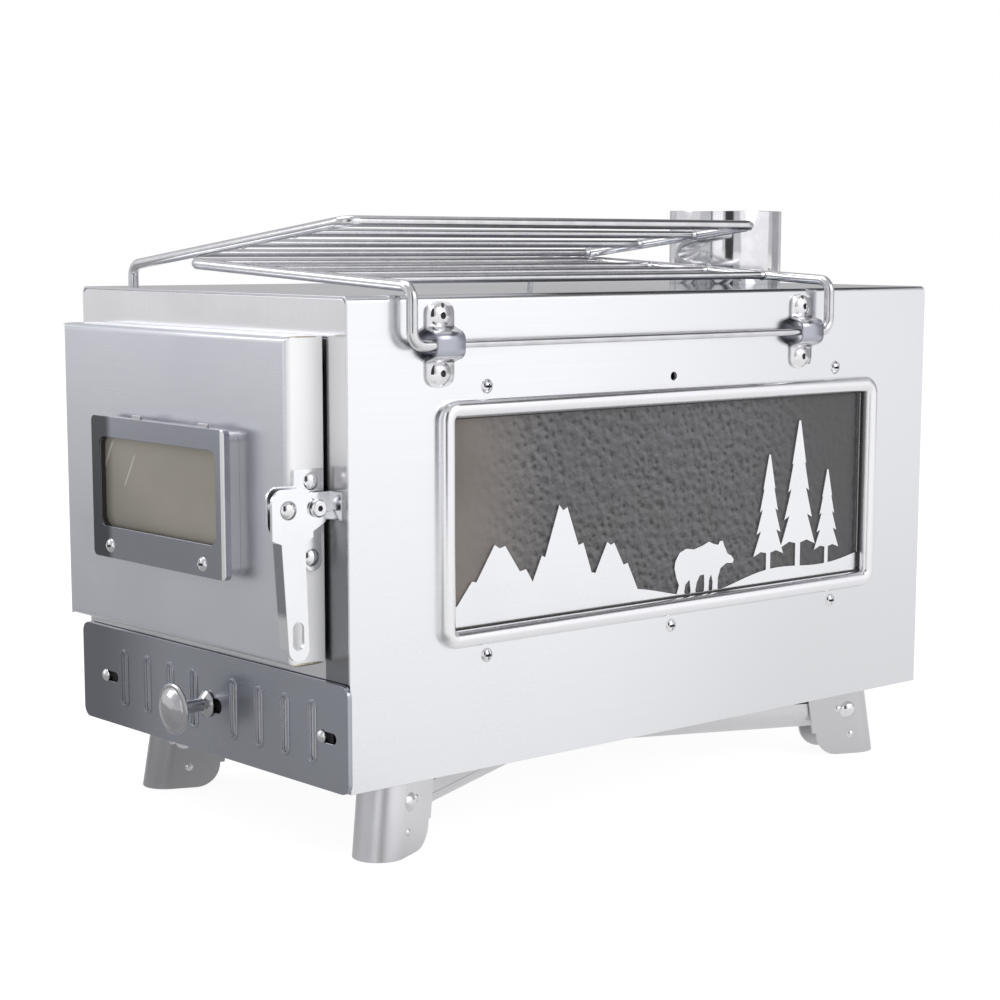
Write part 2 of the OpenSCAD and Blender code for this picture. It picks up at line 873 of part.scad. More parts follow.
module door_pan() {
    color("darkgray") place() difference() {
        translate([0, door_face, door_z]) folded_block(door_w, door_h, door_d, door_fold);
        translate([0, door_face + sheet, door_z + sheet])
            folded_block(door_w - 2 * sheet, door_h - 2 * sheet, door_d, door_fold - sheet);
        along_y(door_face - 1, sheet + 2) door_view(1);
    }
}

module door_liner() {
    color("gray") place()
        along_y(door_back - sheet, sheet) difference() {
            translate([0, door_z + door_h / 2]) square([door_w - 2 * sheet, door_h - 2 * sheet], center = true);
            door_view(2);
        }
}

module cover_outline(inset, r) {
    translate([cover_x, cover_z + cover_h / 2])
        round_rect(cover_w - 2 * inset, cover_h - 2 * inset, r);
}

// Upright box on the door that carries the glass on a turned-in ledge
module window_box() {
    color("silver") place() difference() {
        union() {
            along_y(glass_face, door_face - glass_face) cover_outline(cover_inset, 4);
            for (x = tab_x)
                translate([cover_x + x - tab_w / 2, cover_face + sheet, cover_z + cover_h - cover_inset - sheet])
                    cube([tab_w, sheet, cover_inset + sheet + tab_h]);
        }
        along_y(glass_face - 1, glass_back - glass_face + 1) cover_outline(cover_inset + sheet, 3);
        along_y(glass_back + sheet, cover_out) cover_outline(cover_inset + sheet, 3);
        along_y(glass_face - 1, cover_out + 2) door_view(1);
        for (x = cover_screw_x)
            y_pin(cover_x + x, cover_face, door_face, cover_screw_z, small_screw_r + 0.1);
    }
}

module window_cover() {
    color("gray") place() difference() {
        along_y(cover_face, cover_d) cover_outline(0, cover_r);
        along_y(cover_face + sheet, cover_d) cover_outline(sheet, cover_r - sheet);
        along_y(cover_face - 1, cover_d) door_view(0);
        for (x = cover_screw_x)
            y_pin(cover_x + x, cover_face - 1, cover_face + 3, cover_screw_z, small_screw_r + 0.1);
        for (x = tab_x)
            translate([cover_x + x - tab_w / 2 - 0.1, cover_face + sheet - 0.1, cover_z + cover_h - sheet - 1])
                cube([tab_w + 0.2, sheet + 0.2, sheet + 2]);
    }
}

module door_glass() {
    color([0.66, 0.63, 0.52, 0.6]) place()
        along_y(glass_face, door_glass_t) translate([cover_x, view_z + view_h / 2])
            round_rect(door_glass_w, view_h + 2 * glass_lap, 2);
}

module cover_screws() {
    color("silver") place()
        for (x = cover_screw_x) {
            y_pin(cover_x + x, cover_face - 0.2, glass_back + sheet + 2, cover_screw_z, small_screw_r);
            translate([cover_x + x, cover_face, cover_screw_z]) rotate([90, 0, 0])
                dome(cover_head_r, cover_head_h);
        }
}

module door_hinge_ears() {
    ear_h = prong_gap - 2 * slide_clr;
    color("gray") place() difference() {
        for (z = hinge_z)
            translate([0, 0, z - ear_h / 2]) {
                translate([door_pin_x, door_pin_y, 0]) cylinder(r = barrel_r, h = ear_h);
                translate([door_pin_x, door_pin_y - sheet, 0]) cube([door_pin_out, 2 * sheet, ear_h]);
                translate([-door_edge - sheet, door_pin_y - ear_leaf, -ear_more])
                    cube([sheet, 2 * ear_leaf + 1, ear_h + 2 * ear_more]);
            }
        for (z = hinge_z)
            translate([door_pin_x, door_pin_y, z - ear_h])
                cylinder(r = door_pin_r + pin_clr, h = 2 * ear_h);
    }
}

// ---------------------------------------------------------------- latch

module latch_plate() {
    color("gray") place() difference() {
        along_x(door_edge, lever_t) {
            translate([plate_nose_y, latch_z - plate_down + plate_r])
                square([plate_tail_y - plate_nose_y, plate_h - 2 * plate_r]);
            translate([plate_nose_y + plate_r, latch_z - plate_down])
                square([plate_back_y - plate_nose_y - plate_r, plate_h]);
            for (z = [plate_r, plate_h - plate_r])
                translate([plate_nose_y + plate_r, latch_z - plate_down + z]) circle(plate_r);
            translate([plate_neck_y, latch_z])
                square([plate_back_y - plate_neck_y, upper_rivet_z + plate_top - latch_z]);
            translate([plate_tail_y - plate_tail_r, lower_rivet_z - plate_tail_drop])
                square([2 * plate_tail_r, latch_z - lower_rivet_z]);
            translate([plate_tail_y, lower_rivet_z - plate_tail_drop]) circle(plate_tail_r);
        }
        for (z = [upper_rivet_z, lower_rivet_z])
            x_pin(door_edge - 1, latch_plate_x1 + 1, rivet_y, z, rivet_r + 0.05);
        x_pin(door_edge - 1, latch_plate_x1 + 1, latch_y, latch_z, pivot_r + 0.05);
    }
}

module latch_rivets() {
    color("silver") place()
        for (z = [upper_rivet_z, lower_rivet_z]) {
            x_pin(door_edge, latch_plate_x1 + 0.2, rivet_y, z, rivet_r);
            translate([latch_plate_x1, rivet_y, z]) rotate([0, 90, 0]) dome(rivet_head_r, rivet_head_h);
        }
}

module latch_pivot() {
    color("silver") place() {
        x_pin(door_edge - 1, lever_x1 + 0.4, latch_y, latch_z, pivot_r);
        x_pin(latch_plate_x1, lever_x0 - 0.2, latch_y, latch_z, collar_r);
        translate([lever_x1 + 0.2, latch_y, latch_z]) rotate([0, 90, 0]) dome(collar_r, pivot_head_h);
    }
}

// Lever outline in (y, z) from its pivot: cam plate, hook and handle
module lever_2d() {
    cam_y = cam_round - lever_front;
    prong_z = -striker_r - slide_clr;
    difference() {
        union() {
            translate([-lever_front, -cam_low])
                square([lever_front + cam_r, cam_low + cam_top - cam_round]);
            translate([cam_y, -cam_low]) square([cam_r - cam_y, cam_low + cam_top]);
            translate([cam_y, cam_top - cam_round]) circle(cam_round);
            polygon([
                [-lever_front, -cam_low],
                [cam_front - lever_front, -cam_low - cam_taper],
                [cam_rear, -cam_low - cam_taper],
                [cam_rear_low, -cam_low]
            ]);
            polygon([
                [cam_rear - 2, -edge_top + 0.9],
                [hook_root_y, -hook_root_low],
                [hook_y, -hook_low],
                [hook_tip_y, prong_z],
                [cam_rear, prong_z]
            ]);
            polygon([
                [cam_front - lever_front, -edge_top],
                [cam_rear, -edge_top + 1],
                [2 * handle_r - handle_back, handle_r - handle_l],
                [-handle_back, handle_r - handle_l]
            ]);
            translate([handle_r - handle_back, handle_r - handle_l]) circle(handle_r);
        }
        difference() {
            translate([0, prong_z]) square([2 * hook_tip_y, 2 * hook_tip_y]);
            circle(cam_r);
        }
        circle(pivot_r + pin_clr);
        translate([finger_y, finger_up - handle_l]) slot_2d(finger_w, finger_l);
    }
}

module latch_lever() {
    edge_l = handle_l - edge_top - edge_bottom;
    tilt = atan2(edge_slant, edge_l + edge_ease);
    color("silver") place() {
        translate([lever_x0, latch_y, latch_z]) rotate([90, 0, 90]) linear_extrude(lever_t) lever_2d();
        translate([lever_x1 - handle_fold, latch_y - edge_y, latch_z - edge_top])
            rotate([tilt, 0, 0]) translate([0, 0, -edge_l]) cube([handle_fold, lever_t, edge_l]);
    }
}

// ---------------------------------------------------------------- air plate, drawer, shutter

module louvres(grow) {
    for (x0 = louvre_x, k = [0:louvre_n - 1])
        translate([x0 + k * louvre_pitch, guide_z + 0.6])
            slot_2d(louvre_w + 2 * grow, louvre_l + 2 * grow);
}

// Horizontal slot in which a guide of radius r travels
module guide_slot(x, r) {
    translate([x + shutter_travel / 2, guide_z])
        rotate(90) slot_2d(2 * r + 2 * slide_clr, shutter_travel + 2 * r + 2 * slide_clr);
}

module air_outline(inset, r) {
    translate([0, air_z + air_h / 2])
        round_rect(body_w + 2 * air_over - 2 * inset, air_h - 2 * inset, r);
}

module air_plate() {
    color([0.42, 0.44, 0.48]) place() difference() {
        union() {
            along_y(air_face, air_d) air_outline(0, air_r);
            along_y(air_face - louvre_proud, air_d) louvres(louvre_rim);
        }
        along_y(air_face + sheet, air_d) air_outline(sheet, air_r - sheet);
        along_y(air_face - 2, air_d + 2) {
            louvres(0);
            for (x = guide_x)
                guide_slot(x, guide_r);
            guide_slot(knob_x, stud_r);
        }
    }
}

module ash_tray() {
    lip_y = air_face + sheet;
    color("silver") place() translate([-tray_w / 2, 0, tray_z]) {
        translate([0, lip_y, 0]) cube([tray_w, tray_l - lip_y, sheet]);
        translate([0, lip_y, 0]) cube([tray_w, sheet, tray_lip_h]);
        translate([0, tray_l - sheet, 0]) cube([tray_w, sheet, tray_h]);
        for (x = [0, tray_w - sheet]) {
            translate([x, lip_y, 0]) cube([sheet, tray_l - lip_y, tray_lip_h]);
            translate([x, slide_clr, 0]) cube([sheet, tray_l - slide_clr, tray_h]);
        }
    }
}

module air_shutter() {
    color("gray") place() difference() {
        translate([shutter_x0, shutter_face, guide_z + 0.6 - shutter_h / 2])
            cube([shutter_x1 - shutter_x0, shutter_t, shutter_h]);
        along_y(shutter_face - 1, shutter_t + 2) translate([-shutter_travel, 0]) louvres(0);
        for (x = guide_x)
            y_pin(x, shutter_face - 1, shutter_face + 3, guide_z, guide_r - 0.3);
        y_pin(knob_x, shutter_face - 1, shutter_face + 3, guide_z, stud_r - 0.8);
    }
}

module shutter_knob() {
    reach = knob_out;
    foot = slide_clr;
    color("silver") place() {
        y_pin(knob_x, air_face - foot - 1, shutter_face, guide_z, stud_r);
        y_pin(knob_x, shutter_face - 0.5, shutter_face + shutter_t + 1.6, guide_z, stud_r - 0.85);
        y_pin(knob_x, shutter_face + shutter_t, shutter_face + shutter_t + 1.2, guide_z, stud_nut_r);
        translate([knob_x, air_face, guide_z]) rotate([90, 0, 0]) rotate_extrude(convexity = 4)
            polygon([
                [0, foot],
                [6.2, foot],
                [6.2, foot + 1],
                [4.4, foot + 2.6],
                [stud_r, foot + 3],
                [stud_r, reach - 9],
                [5, reach - 7.4],
                [knob_d / 2 - 1, reach - 6],
                [knob_d / 2, reach - 5],
                [knob_d / 2, reach - 3.6],
                [knob_d / 2 - 1, reach - 2.8],
                [8.6, reach - 2.4],
                [8.2, reach - 1.3],
                [5.6, reach - 0.4],
                [0, reach]
            ]);
    }
}

module shutter_screws() {
    color("silver") place()
        for (x = guide_x) {
            y_pin(x, air_face - slide_clr - 0.2, shutter_face, guide_z, guide_r);
            y_pin(x, shutter_face - 0.2, shutter_face + shutter_t, guide_z, guide_r - 0.35);
            translate([x, air_face - slide_clr, guide_z]) rotate([90, 0, 0]) dome(guide_head_r, guide_head_h);
        }
}

// ---------------------------------------------------------------- racks

// Part ring of wire, from angle 0 to a, with a weld at both ends
module elbow(a) {
    rotate_extrude(angle = a) translate([bend_r, 0]) circle(d = wire_d, $fn = 32);
    for (end = [0, a])
        rotate(end) translate([bend_r, 0, 0]) sphere(wire_d / 2 + weld, $fn = 32);
}

// One end of a rack: hinge bend, leg, shoulder bend and arm, at y = 0
module rack_end(leg, arm, rise) {
    turn = 90 - rise;
    set_back = bend_r * tan(turn / 2);
    translate([0, bend_r, bend_r]) rotate([180, 90, 0]) elbow(90);
    translate([0, 0, bend_r]) cylinder(d = wire_d, h = leg - bend_r - set_back, $fn = 32);
    translate([-bend_r, 0, leg - set_back]) rotate([90, 0, 0]) elbow(turn);
    translate([0, 0, leg]) rotate([0, rise, 0]) {
        translate([-set_back, 0, 0]) rotate([0, -90, 0])
            cylinder(d = wire_d, h = arm - set_back - bend_r, $fn = 32);
        translate([-arm + bend_r, bend_r, 0]) rotate([180, 0, -90]) elbow(90);
    }
}

// A right-hand rack with its hinge rod on x = 0, z = 0
module rack(l, leg, arm, rise) {
    rack_end(leg, arm, rise);
    translate([0, l, 0]) mirror([0, 1, 0]) rack_end(leg, arm, rise);
    y_pin(0, bend_r, l - bend_r, 0, wire_d / 2, $fn = 32);
    translate([0, 0, leg]) rotate([0, rise, 0]) {
        y_pin(-arm, bend_r, l - bend_r, 0, wire_d / 2, $fn = 32);
        for (k = [1:3])
            y_pin(-arm + k * bar_pitch, -bar_poke, l + bar_poke, 0, bar_d / 2, $fn = 32);
    }
}

module right_rack() {
    color("silver") place() translate([hinge_x, right_rack_y, hinge_z_rack])
        rack(right_rack_l, right_rack_leg, right_arm, right_rise);
}

module left_rack() {
    color("silver") place() translate([-hinge_x, left_rack_y, hinge_z_rack])
        mirror([1, 0, 0]) rack(left_rack_l, left_rack_leg, left_arm, left_rise);
}

// ---------------------------------------------------------------- legs

// Moves to a leg's pivot; x points along the folded leg, y along its pin
module at_leg(leg) {
    translate([
        leg[1] * (side_x - leg_in),
        leg[2] == 0 ? leg_end : body_l - leg_end,
        -leg_drop
    ])
        rotate(leg[3]) children();
}

module bracket_outline(hw, reach) {
    translate([-bracket_back, 0]) circle(hw);
    translate([-bracket_back, -hw]) square([reach + bracket_back, 2 * hw]);
}

module leg_bracket() {
    corner_x = ear_reach - leg_bottom * tan(leg_lean);
    difference() {
        intersection() {
            rotate([0, leg_lean, 0]) translate([0, 0, -big]) linear_extrude(2 * big)
                bracket_outline(bracket_hw, ear_reach);
            translate([-big, -big, -leg_bottom]) cube([2 * big, 2 * big, stand_h]);
        }
        intersection() {
            rotate([0, leg_lean, 0]) translate([0, 0, -big]) linear_extrude(2 * big)
                bracket_outline(bracket_hw - bracket_t, big);
            translate([-big, -big, -big]) cube([3 * big, 2 * big, big + leg_drop - bracket_t]);
        }
        translate([0, bracket_hw + 1, 0]) rotate([90, 0, 0]) linear_extrude(2 * bracket_hw + 2)
            difference() {
                translate([corner_x - ear_round, -leg_bottom - 1]) square([2 * ear_round, ear_round + 1]);
                translate([corner_x - ear_round, ear_round - leg_bottom]) circle(ear_round);
            }
        translate([0, bracket_hw + 1, 0]) rotate([90, 0, 0])
            cylinder(r = leg_pin_r + 0.05, h = 2 * bracket_hw + 2);
    }
}

module leg_brackets() {
    color("silver") place()
        for (leg = LEGS)
            at_leg(leg) leg_bracket();
}

module leg_pivots() {
    color("gray") place()
        for (leg = LEGS)
            at_leg(leg) {
                translate([0, bracket_hw + 0.2, 0]) rotate([90, 0, 0])
                    cylinder(r = leg_pin_r, h = 2 * bracket_hw + 0.4);
                for (s = SIDES)
                    translate([0, s * bracket_hw, 0]) rotate([-s * 90, 0, 0]) dome(leg_head_r, leg_head_h);
            }
}

// Half-round channel, open upwards when folded; (y, z) section
module channel_2d(r, rise) {
    translate([-r, 0]) square([2 * r, rise]);
    intersection() {
        circle(r);
        translate([-r, -r]) square([2 * r, r]);
    }
}

module folding_leg() {
    difference() {
        rotate([90, 0, 90]) translate([0, 0, -leg_start]) linear_extrude(leg_l + leg_start + 2)
            difference() {
                channel_2d(leg_hw, leg_rise);
                channel_2d(leg_hw - leg_t, leg_rise + 1);
            }
        translate([0, bracket_hw, 0]) rotate([90, 0, 0])
            cylinder(r = leg_pin_r + pin_clr, h = 2 * bracket_hw);
        translate([leg_l, 0, 0]) rotate([0, leg_lean, 0]) translate([0, -big, -big])
            cube([2 * big, 2 * big, 2 * big]);
    }
}

module one_leg(k) {
    color("silver") place() at_leg(LEGS[k]) folding_leg();
}

// ---------------------------------------------------------------- nodes

body_shell();
front_plate();
back_plate();
floor_pan();
fire_grate();
flue_collar();
on_right() window_rim();  // right_window_rim
on_left() window_rim();  // left_window_rim
on_right() picture_plate();  // right_picture_plate
on_left() picture_plate();  // left_picture_plate
on_right() side_glass();  // right_side_glass
on_left() side_glass();  // left_side_glass
on_right() glass_frame();  // right_glass_frame
on_left() glass_frame();  // left_glass_frame
window_screws();
rack_clips();
clip_rivets();
hinge_lugs();
hinge_pins();
striker_tab();
striker_pin();
leg_brackets();
leg_pivots();
door_pan();
door_liner();
window_box();
window_cover();
door_glass();
cover_screws();
door_hinge_ears();
latch_plate();
latch_rivets();
latch_pivot();
latch_lever();
air_plate();
ash_tray();
air_shutter();
shutter_knob();
shutter_screws();
right_rack();
left_rack();
one_leg(0);  // front_right_leg
one_leg(1);  // front_left_leg
one_leg(2);  // rear_right_leg
one_leg(3);  // rear_left_leg
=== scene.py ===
import math

import bmesh
import bpy
import numpy as np
from bpy.props import FloatProperty, FloatVectorProperty, PointerProperty
from mathutils import Matrix, Vector


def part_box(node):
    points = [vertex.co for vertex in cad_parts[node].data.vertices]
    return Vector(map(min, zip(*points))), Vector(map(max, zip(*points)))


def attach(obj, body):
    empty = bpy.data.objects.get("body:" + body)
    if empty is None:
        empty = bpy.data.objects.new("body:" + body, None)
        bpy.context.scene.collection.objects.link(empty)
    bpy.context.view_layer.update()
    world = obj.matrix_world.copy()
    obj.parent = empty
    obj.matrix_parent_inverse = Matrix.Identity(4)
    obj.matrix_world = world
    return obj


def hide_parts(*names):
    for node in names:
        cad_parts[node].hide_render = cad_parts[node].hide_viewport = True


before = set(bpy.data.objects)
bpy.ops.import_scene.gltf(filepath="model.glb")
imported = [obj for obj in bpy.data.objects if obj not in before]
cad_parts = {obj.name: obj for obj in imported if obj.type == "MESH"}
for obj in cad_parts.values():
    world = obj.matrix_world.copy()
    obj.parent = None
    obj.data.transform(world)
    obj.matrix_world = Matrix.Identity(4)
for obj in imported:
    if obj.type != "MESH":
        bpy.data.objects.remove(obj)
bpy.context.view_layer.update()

bl_info = {
    "name": "Tent wood stove finish",
    "version": (1, 0, 0),
    "blender": (4, 5, 0),
    "location": "3D View > Sidebar > Stove",
    "description": "Rounded sheet edges, wires, fasteners and steel finishes for a packed tent wood stove",
    "category": "Object",
}

MM = 0.001
X, Y, Z = np.eye(3)
ALONG_X, ALONG_Y, ALONG_Z = range(3)

# Stove millimetres, as in the part's source: x from the middle, y from the front plate and z from the panels'
# lower edge. MID_Y and STAND_H take them to the frame, whose z starts at the ground.
MID_Y = 172.0
STAND_H = 36.0
BODY_H = 210.0
SIDE_X = 105.5

FLUE_Y = 335.0
FLUE_R = 30.2
FLUE_BORE = 29.2
FLUE_TOP = 248.8

RIM_IN = (55.5, 328.0, 64.3, 157.0)
WINDOW_SCREW_Y = (75.4, 115.2)
WINDOW_SCREW_Z = (51.2, 170.1)
NUT_X = 103.1

COVER_FACE = -29.2
COVER_X = 3.2
PANE_Z = 123.6
COVER_SCREW_X = (-39.0, 36.5)
COVER_SCREW_Z = 94.4

HINGE_PIN = (-96, -10)
HINGE_PIN_Z = (85.0, 165.0)
DOOR_EDGE = 90.1
DOOR_WELD_Z = (55.9, 193.1)

LATCH_Y = -23.8
LATCH_Z = 122.5
STRIKER_Y = -9.5
LATCH_RIVETS = ((-9.3, 133.4), (-9.3, 101.2))

AIR_FACE = -3.2
GUIDE_Z = 23.4
GUIDE_SCREW_X = (-86.5, 89.2)
KNOB_X = 1.5

HINGE_X = 111.5
HINGE_Z = 189.0
CLIP_Y = (48.5, 278.7)
CLIP_RIVET_DZ = 12.3
RACK_BEND = 6.0
RACK_PITCH = 41.0
RACK_GAP = 5.3
RIGHT_LEG, RIGHT_ARM, RIGHT_RISE = 24.8, 166.5, 2.6
LEFT_LEG, LEFT_ARM = 30.8, 174.5

LEGS = ((1, 36.0, 114.0), (-1, 36.0, 66.0), (1, 340.0, 246.0), (-1, 340.0, 294.0))
LEG_X = 83.3
LEG_Z = -12.0
BRACKET_HALF = 12.0

# Painted light: boxes where a piece is painted darker as painted shade, and the window cover's right fold white as
# a painted highlight, each ((axis, low, high[, soft]), ...) in metres of Object coordinates, with soft edges where
# a fourth value is given
COVER_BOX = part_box("window_cover")
COVER_FRONT = (ALONG_Y, -0.3, COVER_BOX[0][1] + 0.0004)
COVER_LEFT_SHADE = ((ALONG_X, -0.1, COVER_BOX[0][0] + 0.012, 0.006), COVER_FRONT)
COVER_RIGHT_HIGHLIGHT = ((ALONG_X, COVER_BOX[1][0] - 0.0024, 0.1), COVER_FRONT)
SIDE_REAR_SHADE = ((ALONG_Y, 0.13, 0.3, 0.2), (ALONG_Z, -0.1, 0.244))
TOP_REAR_SHADE = ((ALONG_X, 0.0, 0.2, 0.08), (ALONG_Y, -0.02, 0.3, 0.09), (ALONG_Z, 0.2454, 0.3))
FRONT_STRIP_SHADE = ((ALONG_X, 0.0886, 0.12), (ALONG_Y, -0.18, -0.16), (ALONG_Z, 0.09, 0.135, 0.055))
BOX_MOUTH_SHADE = ((ALONG_X, -0.0465, 0.053), (ALONG_Z, 0.1365, 0.182))
AIR_LEFT_SHADE = ((ALONG_X, -0.2, -0.095, 0.07),)
REAR_BRACKET_SHADE = ((ALONG_Y, 0.08, 0.3),)
LEFT_BRACKET_SHADE = ((ALONG_X, -0.3, 0.0),)
CLIP_MIDDLE_SHADE = ((ALONG_Z, 0.2204, 0.2296),)
LEVER_FOLD_SHADE = ((ALONG_Y, -0.205, -0.1975), (ALONG_X, 0.08, 0.0958), (ALONG_Z, 0.09, 0.145))
GUIDE_ROW = (GUIDE_Z + STAND_H) * MM
SHUTTER_SLOT_SHADE = [((ALONG_X, x0, x1), (ALONG_Z, GUIDE_ROW - 0.005, GUIDE_ROW + 0.005))
                 for x0, x1 in ((-0.1, -0.078), (-0.004, 0.016), (0.0862, 0.1))]

# Painted shade and highlight: the shell's hot plate, where its satin sides turn into it, is painted darker, and
# the door's side wall, where its face turns into it, white: an axis, the start and end of the change, then the
# colour and roughness beyond it
TOP_SHADE_ZONE = (ALONG_Z, 0.2445, 0.2456, (0.66, 0.67, 0.70), 0.05)
DOOR_SIDE_HIGHLIGHT_ZONE = (ALONG_X, 0.0886, 0.0898, (1.0, 1.0, 1.0), 0.7)

# Directions of the brushing: noise is fine across it and drawn out along it
LENGTHWISE, UPRIGHT, ACROSS = (2600.0, 40.0, 2600.0), (2600.0, 2600.0, 40.0), (40.0, 2600.0, 2600.0)
GRAIN_HEIGHT = 0.00002


# ------------------------------------------------------------------ what a user would change

class StoveSizes(bpy.types.PropertyGroup):
    """Sizes of the finishing work, in metres"""

    sheet_round: FloatProperty(
        name="Sheet edge rounding", description="Radius that deburring leaves on the cut edges of the sheets",
        default=0.00028, min=0.00005, max=0.0005, unit="LENGTH", precision=5)
    fine_round: FloatProperty(
        name="Fine edge rounding", description="Radius on the edges of thin plates and small fittings",
        default=0.00014, min=0.00005, max=0.0003, unit="LENGTH", precision=5)
    frame_wire: FloatProperty(
        name="Rack frame wire", description="Radius of the racks' frame wire",
        default=0.0025, min=0.002, max=0.0025, unit="LENGTH", precision=4)
    hinge_rod: FloatProperty(
        name="Hinge rod", description="Radius of the racks' wire where it is drawn thin between the clips",
        default=0.0016, min=0.0014, max=0.0022, unit="LENGTH", precision=4)
    rack_bar: FloatProperty(
        name="Rack bar", description="Radius of the racks' inner bars",
        default=0.002, min=0.0015, max=0.002, unit="LENGTH", precision=4)
    weld_swell: FloatProperty(
        name="Weld swelling", description="How much a bar swells where it is welded to the frame",
        default=0.35, min=0.0, max=0.5, subtype="FACTOR")


class StoveColours(bpy.types.PropertyGroup):
    """Colours of the finishes"""

    shell: FloatVectorProperty(
        name="Side panels", description="Satin steel of the side panels and hot plate", subtype="COLOR",
        size=3, min=0, max=1, default=(0.90, 0.905, 0.93))
    front: FloatVectorProperty(
        name="Front plate", description="Satin steel of the front and back plates", subtype="COLOR",
        size=3, min=0, max=1, default=(0.84, 0.835, 0.85))
    door: FloatVectorProperty(
        name="Door", description="Brushed steel of the door", subtype="COLOR",
        size=3, min=0, max=1, default=(0.765, 0.775, 0.83))
    cover: FloatVectorProperty(
        name="Window cover", description="Steel of the door window's cover", subtype="COLOR",
        size=3, min=0, max=1, default=(0.42, 0.43, 0.48))
    air: FloatVectorProperty(
        name="Air plate", description="Blue-grey steel of the air plate", subtype="COLOR",
        size=3, min=0, max=1, default=(0.46, 0.475, 0.53))
    chrome: FloatVectorProperty(
        name="Bright steel", description="Polished steel of wires, collar, rims and fasteners", subtype="COLOR",
        size=3, min=0, max=1, default=(0.80, 0.80, 0.82))
    bracket: FloatVectorProperty(
        name="Leg brackets", description="Satin steel of the brackets and legs", subtype="COLOR",
        size=3, min=0, max=1, default=(0.66, 0.66, 0.68))
    side_glass: FloatVectorProperty(
        name="Side glass", description="Smoked hammered glass behind the pictures", subtype="COLOR",
        size=3, min=0, max=1, default=(0.085, 0.085, 0.092))
    door_glass: FloatVectorProperty(
        name="Door glass", description="Glass of the door window over the dim firebox", subtype="COLOR",
        size=3, min=0, max=1, default=(0.27, 0.25, 0.21))


# ------------------------------------------------------------------ surfaces

def to_row(points):
    """Stove millimetres to metres in the row frame: (x, y - 172, z + 36) / 1000."""
    return (np.asarray(points, float) + (0.0, -MID_Y, STAND_H)) * MM


def unit(v):
    """v divided by its length."""
    return v / np.linalg.norm(v, axis=-1, keepdims=True)


def smooth(low, high, value):
    """0 below low, 1 above high, and 3t^2 - 2t^3 between."""
    t = np.clip((value - low) / (high - low), 0.0, 1.0)
    return t * t * (3.0 - 2.0 * t)


def square_to(out):
    """Two directions square to out and to each other."""
    x = unit(np.cross(out, Z if abs(out[2]) < 0.9 else X))
    return x, np.cross(out, x)


def outward(points, quads, tris):
    """Turns the faces round if the volume, the sum of a . (b x c) / 6 over the triangles, is negative."""
    fans = np.vstack([quads[:, [0, 1, 2]], quads[:, [0, 2, 3]], tris])
    a, b, c = (points[fans[:, k]] for k in range(3))
    if np.einsum("ij,ij->i", a, np.cross(b, c)).sum() < 0:
        quads, tris = quads[:, ::-1], tris[:, ::-1]
    return points, quads, tris


def rings(grid, first=None, last=None, loop=False):
    """A closed surface through grid[i, j]: ring i is joined to ring i + 1 by quads, j runs round.
    first and last are the poles that close the ends with fans; loop joins the last ring to the first."""
    n, m = grid.shape[:2]
    i, j = np.arange(n if loop else n - 1)[:, None], np.arange(m)[None, :]
    nxt, turn = (i + 1) % n, (j + 1) % m
    quads = np.stack([i * m + j, nxt * m + j, nxt * m + turn, i * m + turn], -1).reshape(-1, 4)
    points, tris, around = grid.reshape(-1, 3), [np.empty((0, 3), int)], np.arange(m)
    for pole, base, flip in ((first, 0, 1), (last, (n - 1) * m, -1)):
        if pole is not None:
            points = np.vstack([points, pole])
            fan = np.stack([np.full(m, len(points) - 1), base + (around + 1) % m, base + around], -1)
            tris.append(fan[:, ::flip])
    return outward(points, quads, np.vstack(tris))


def placed(local, origin, x, y, z):
    """local (u, v, w) to origin + u x + v y + w z."""
    return np.asarray(origin, float) + local[..., :1] * x + local[..., 1:2] * y + local[..., 2:] * z


def filleted(corners, radius, steps=8, loop=True):
    """A path through corners whose bends are arcs of that radius: an arc's centre lies on the corner's bisector
    at radius / sin(half), and its points are the great-circle blend between the two tangent points."""
    p = np.asarray(corners, float)
    q = p if loop else p[1:-1]
    before, after = (np.roll(p, 1, 0), np.roll(p, -1, 0)) if loop else (p[:-2], p[2:])
    u, v = unit(before - q), unit(after - q)
    half = np.arccos(np.clip((u * v).sum(1), -1, 1)) / 2
    r = np.broadcast_to(np.asarray(radius, float), half.shape)
    centre = q + unit(u + v) * (r / np.sin(half))[:, None]
    a = q + u * (r / np.tan(half))[:, None] - centre
    b = q + v * (r / np.tan(half))[:, None] - centre
    sweep = np.pi - 2 * half
    t = np.linspace(0, 1, steps)[None, :, None]
    w = sweep[:, None, None]
    arc = (np.sin((1 - t) * w) * a[:, None] + np.sin(t * w) * b[:, None]) / np.sin(w) + centre[:, None]
    path = arc.reshape(-1, 3)
    return path if loop else np.vstack([p[:1], path, p[-1:]])


def dense(path, step=5.0, loop=True):
    """The path with points added so that no segment is longer than step."""
    ends = np.roll(path, -1, 0) if loop else path[1:]
    starts = path if loop else path[:-1]
    out = []
    for a, b in zip(starts, ends):
        n = max(1, math.ceil(np.linalg.norm(b - a) / step))
        out.append(a + np.arange(n)[:, None] / n * (b - a))
    return np.vstack(out if loop else out + [path[-1:]])


def tube(path, radius, towards, sides=20, loop=True):
    """Circles of that radius carried along path. Each lies across the path's tangent T, and starts at N, the
    part of (towards - point) that is square to T: point + r (cos a N + sin a (T x N))."""
    if loop:
        t = unit(np.roll(path, -1, 0) - np.roll(path, 1, 0))
    else:
        t = unit(np.gradient(path, axis=0))
    aim = np.asarray(towards, float) - path
    n = unit(aim - (aim * t).sum(1, keepdims=True) * t)
    b = np.cross(t, n)
    a = np.linspace(0, 2 * np.pi, sides, endpoint=False)[None, :, None]
    r = np.broadcast_to(np.asarray(radius, float), (len(path),))[:, None, None]
    grid = path[:, None] + r * (np.cos(a) * n[:, None] + np.sin(a) * b[:, None])
    return rings(grid, loop=True) if loop else rings(grid, path[0], path[-1])


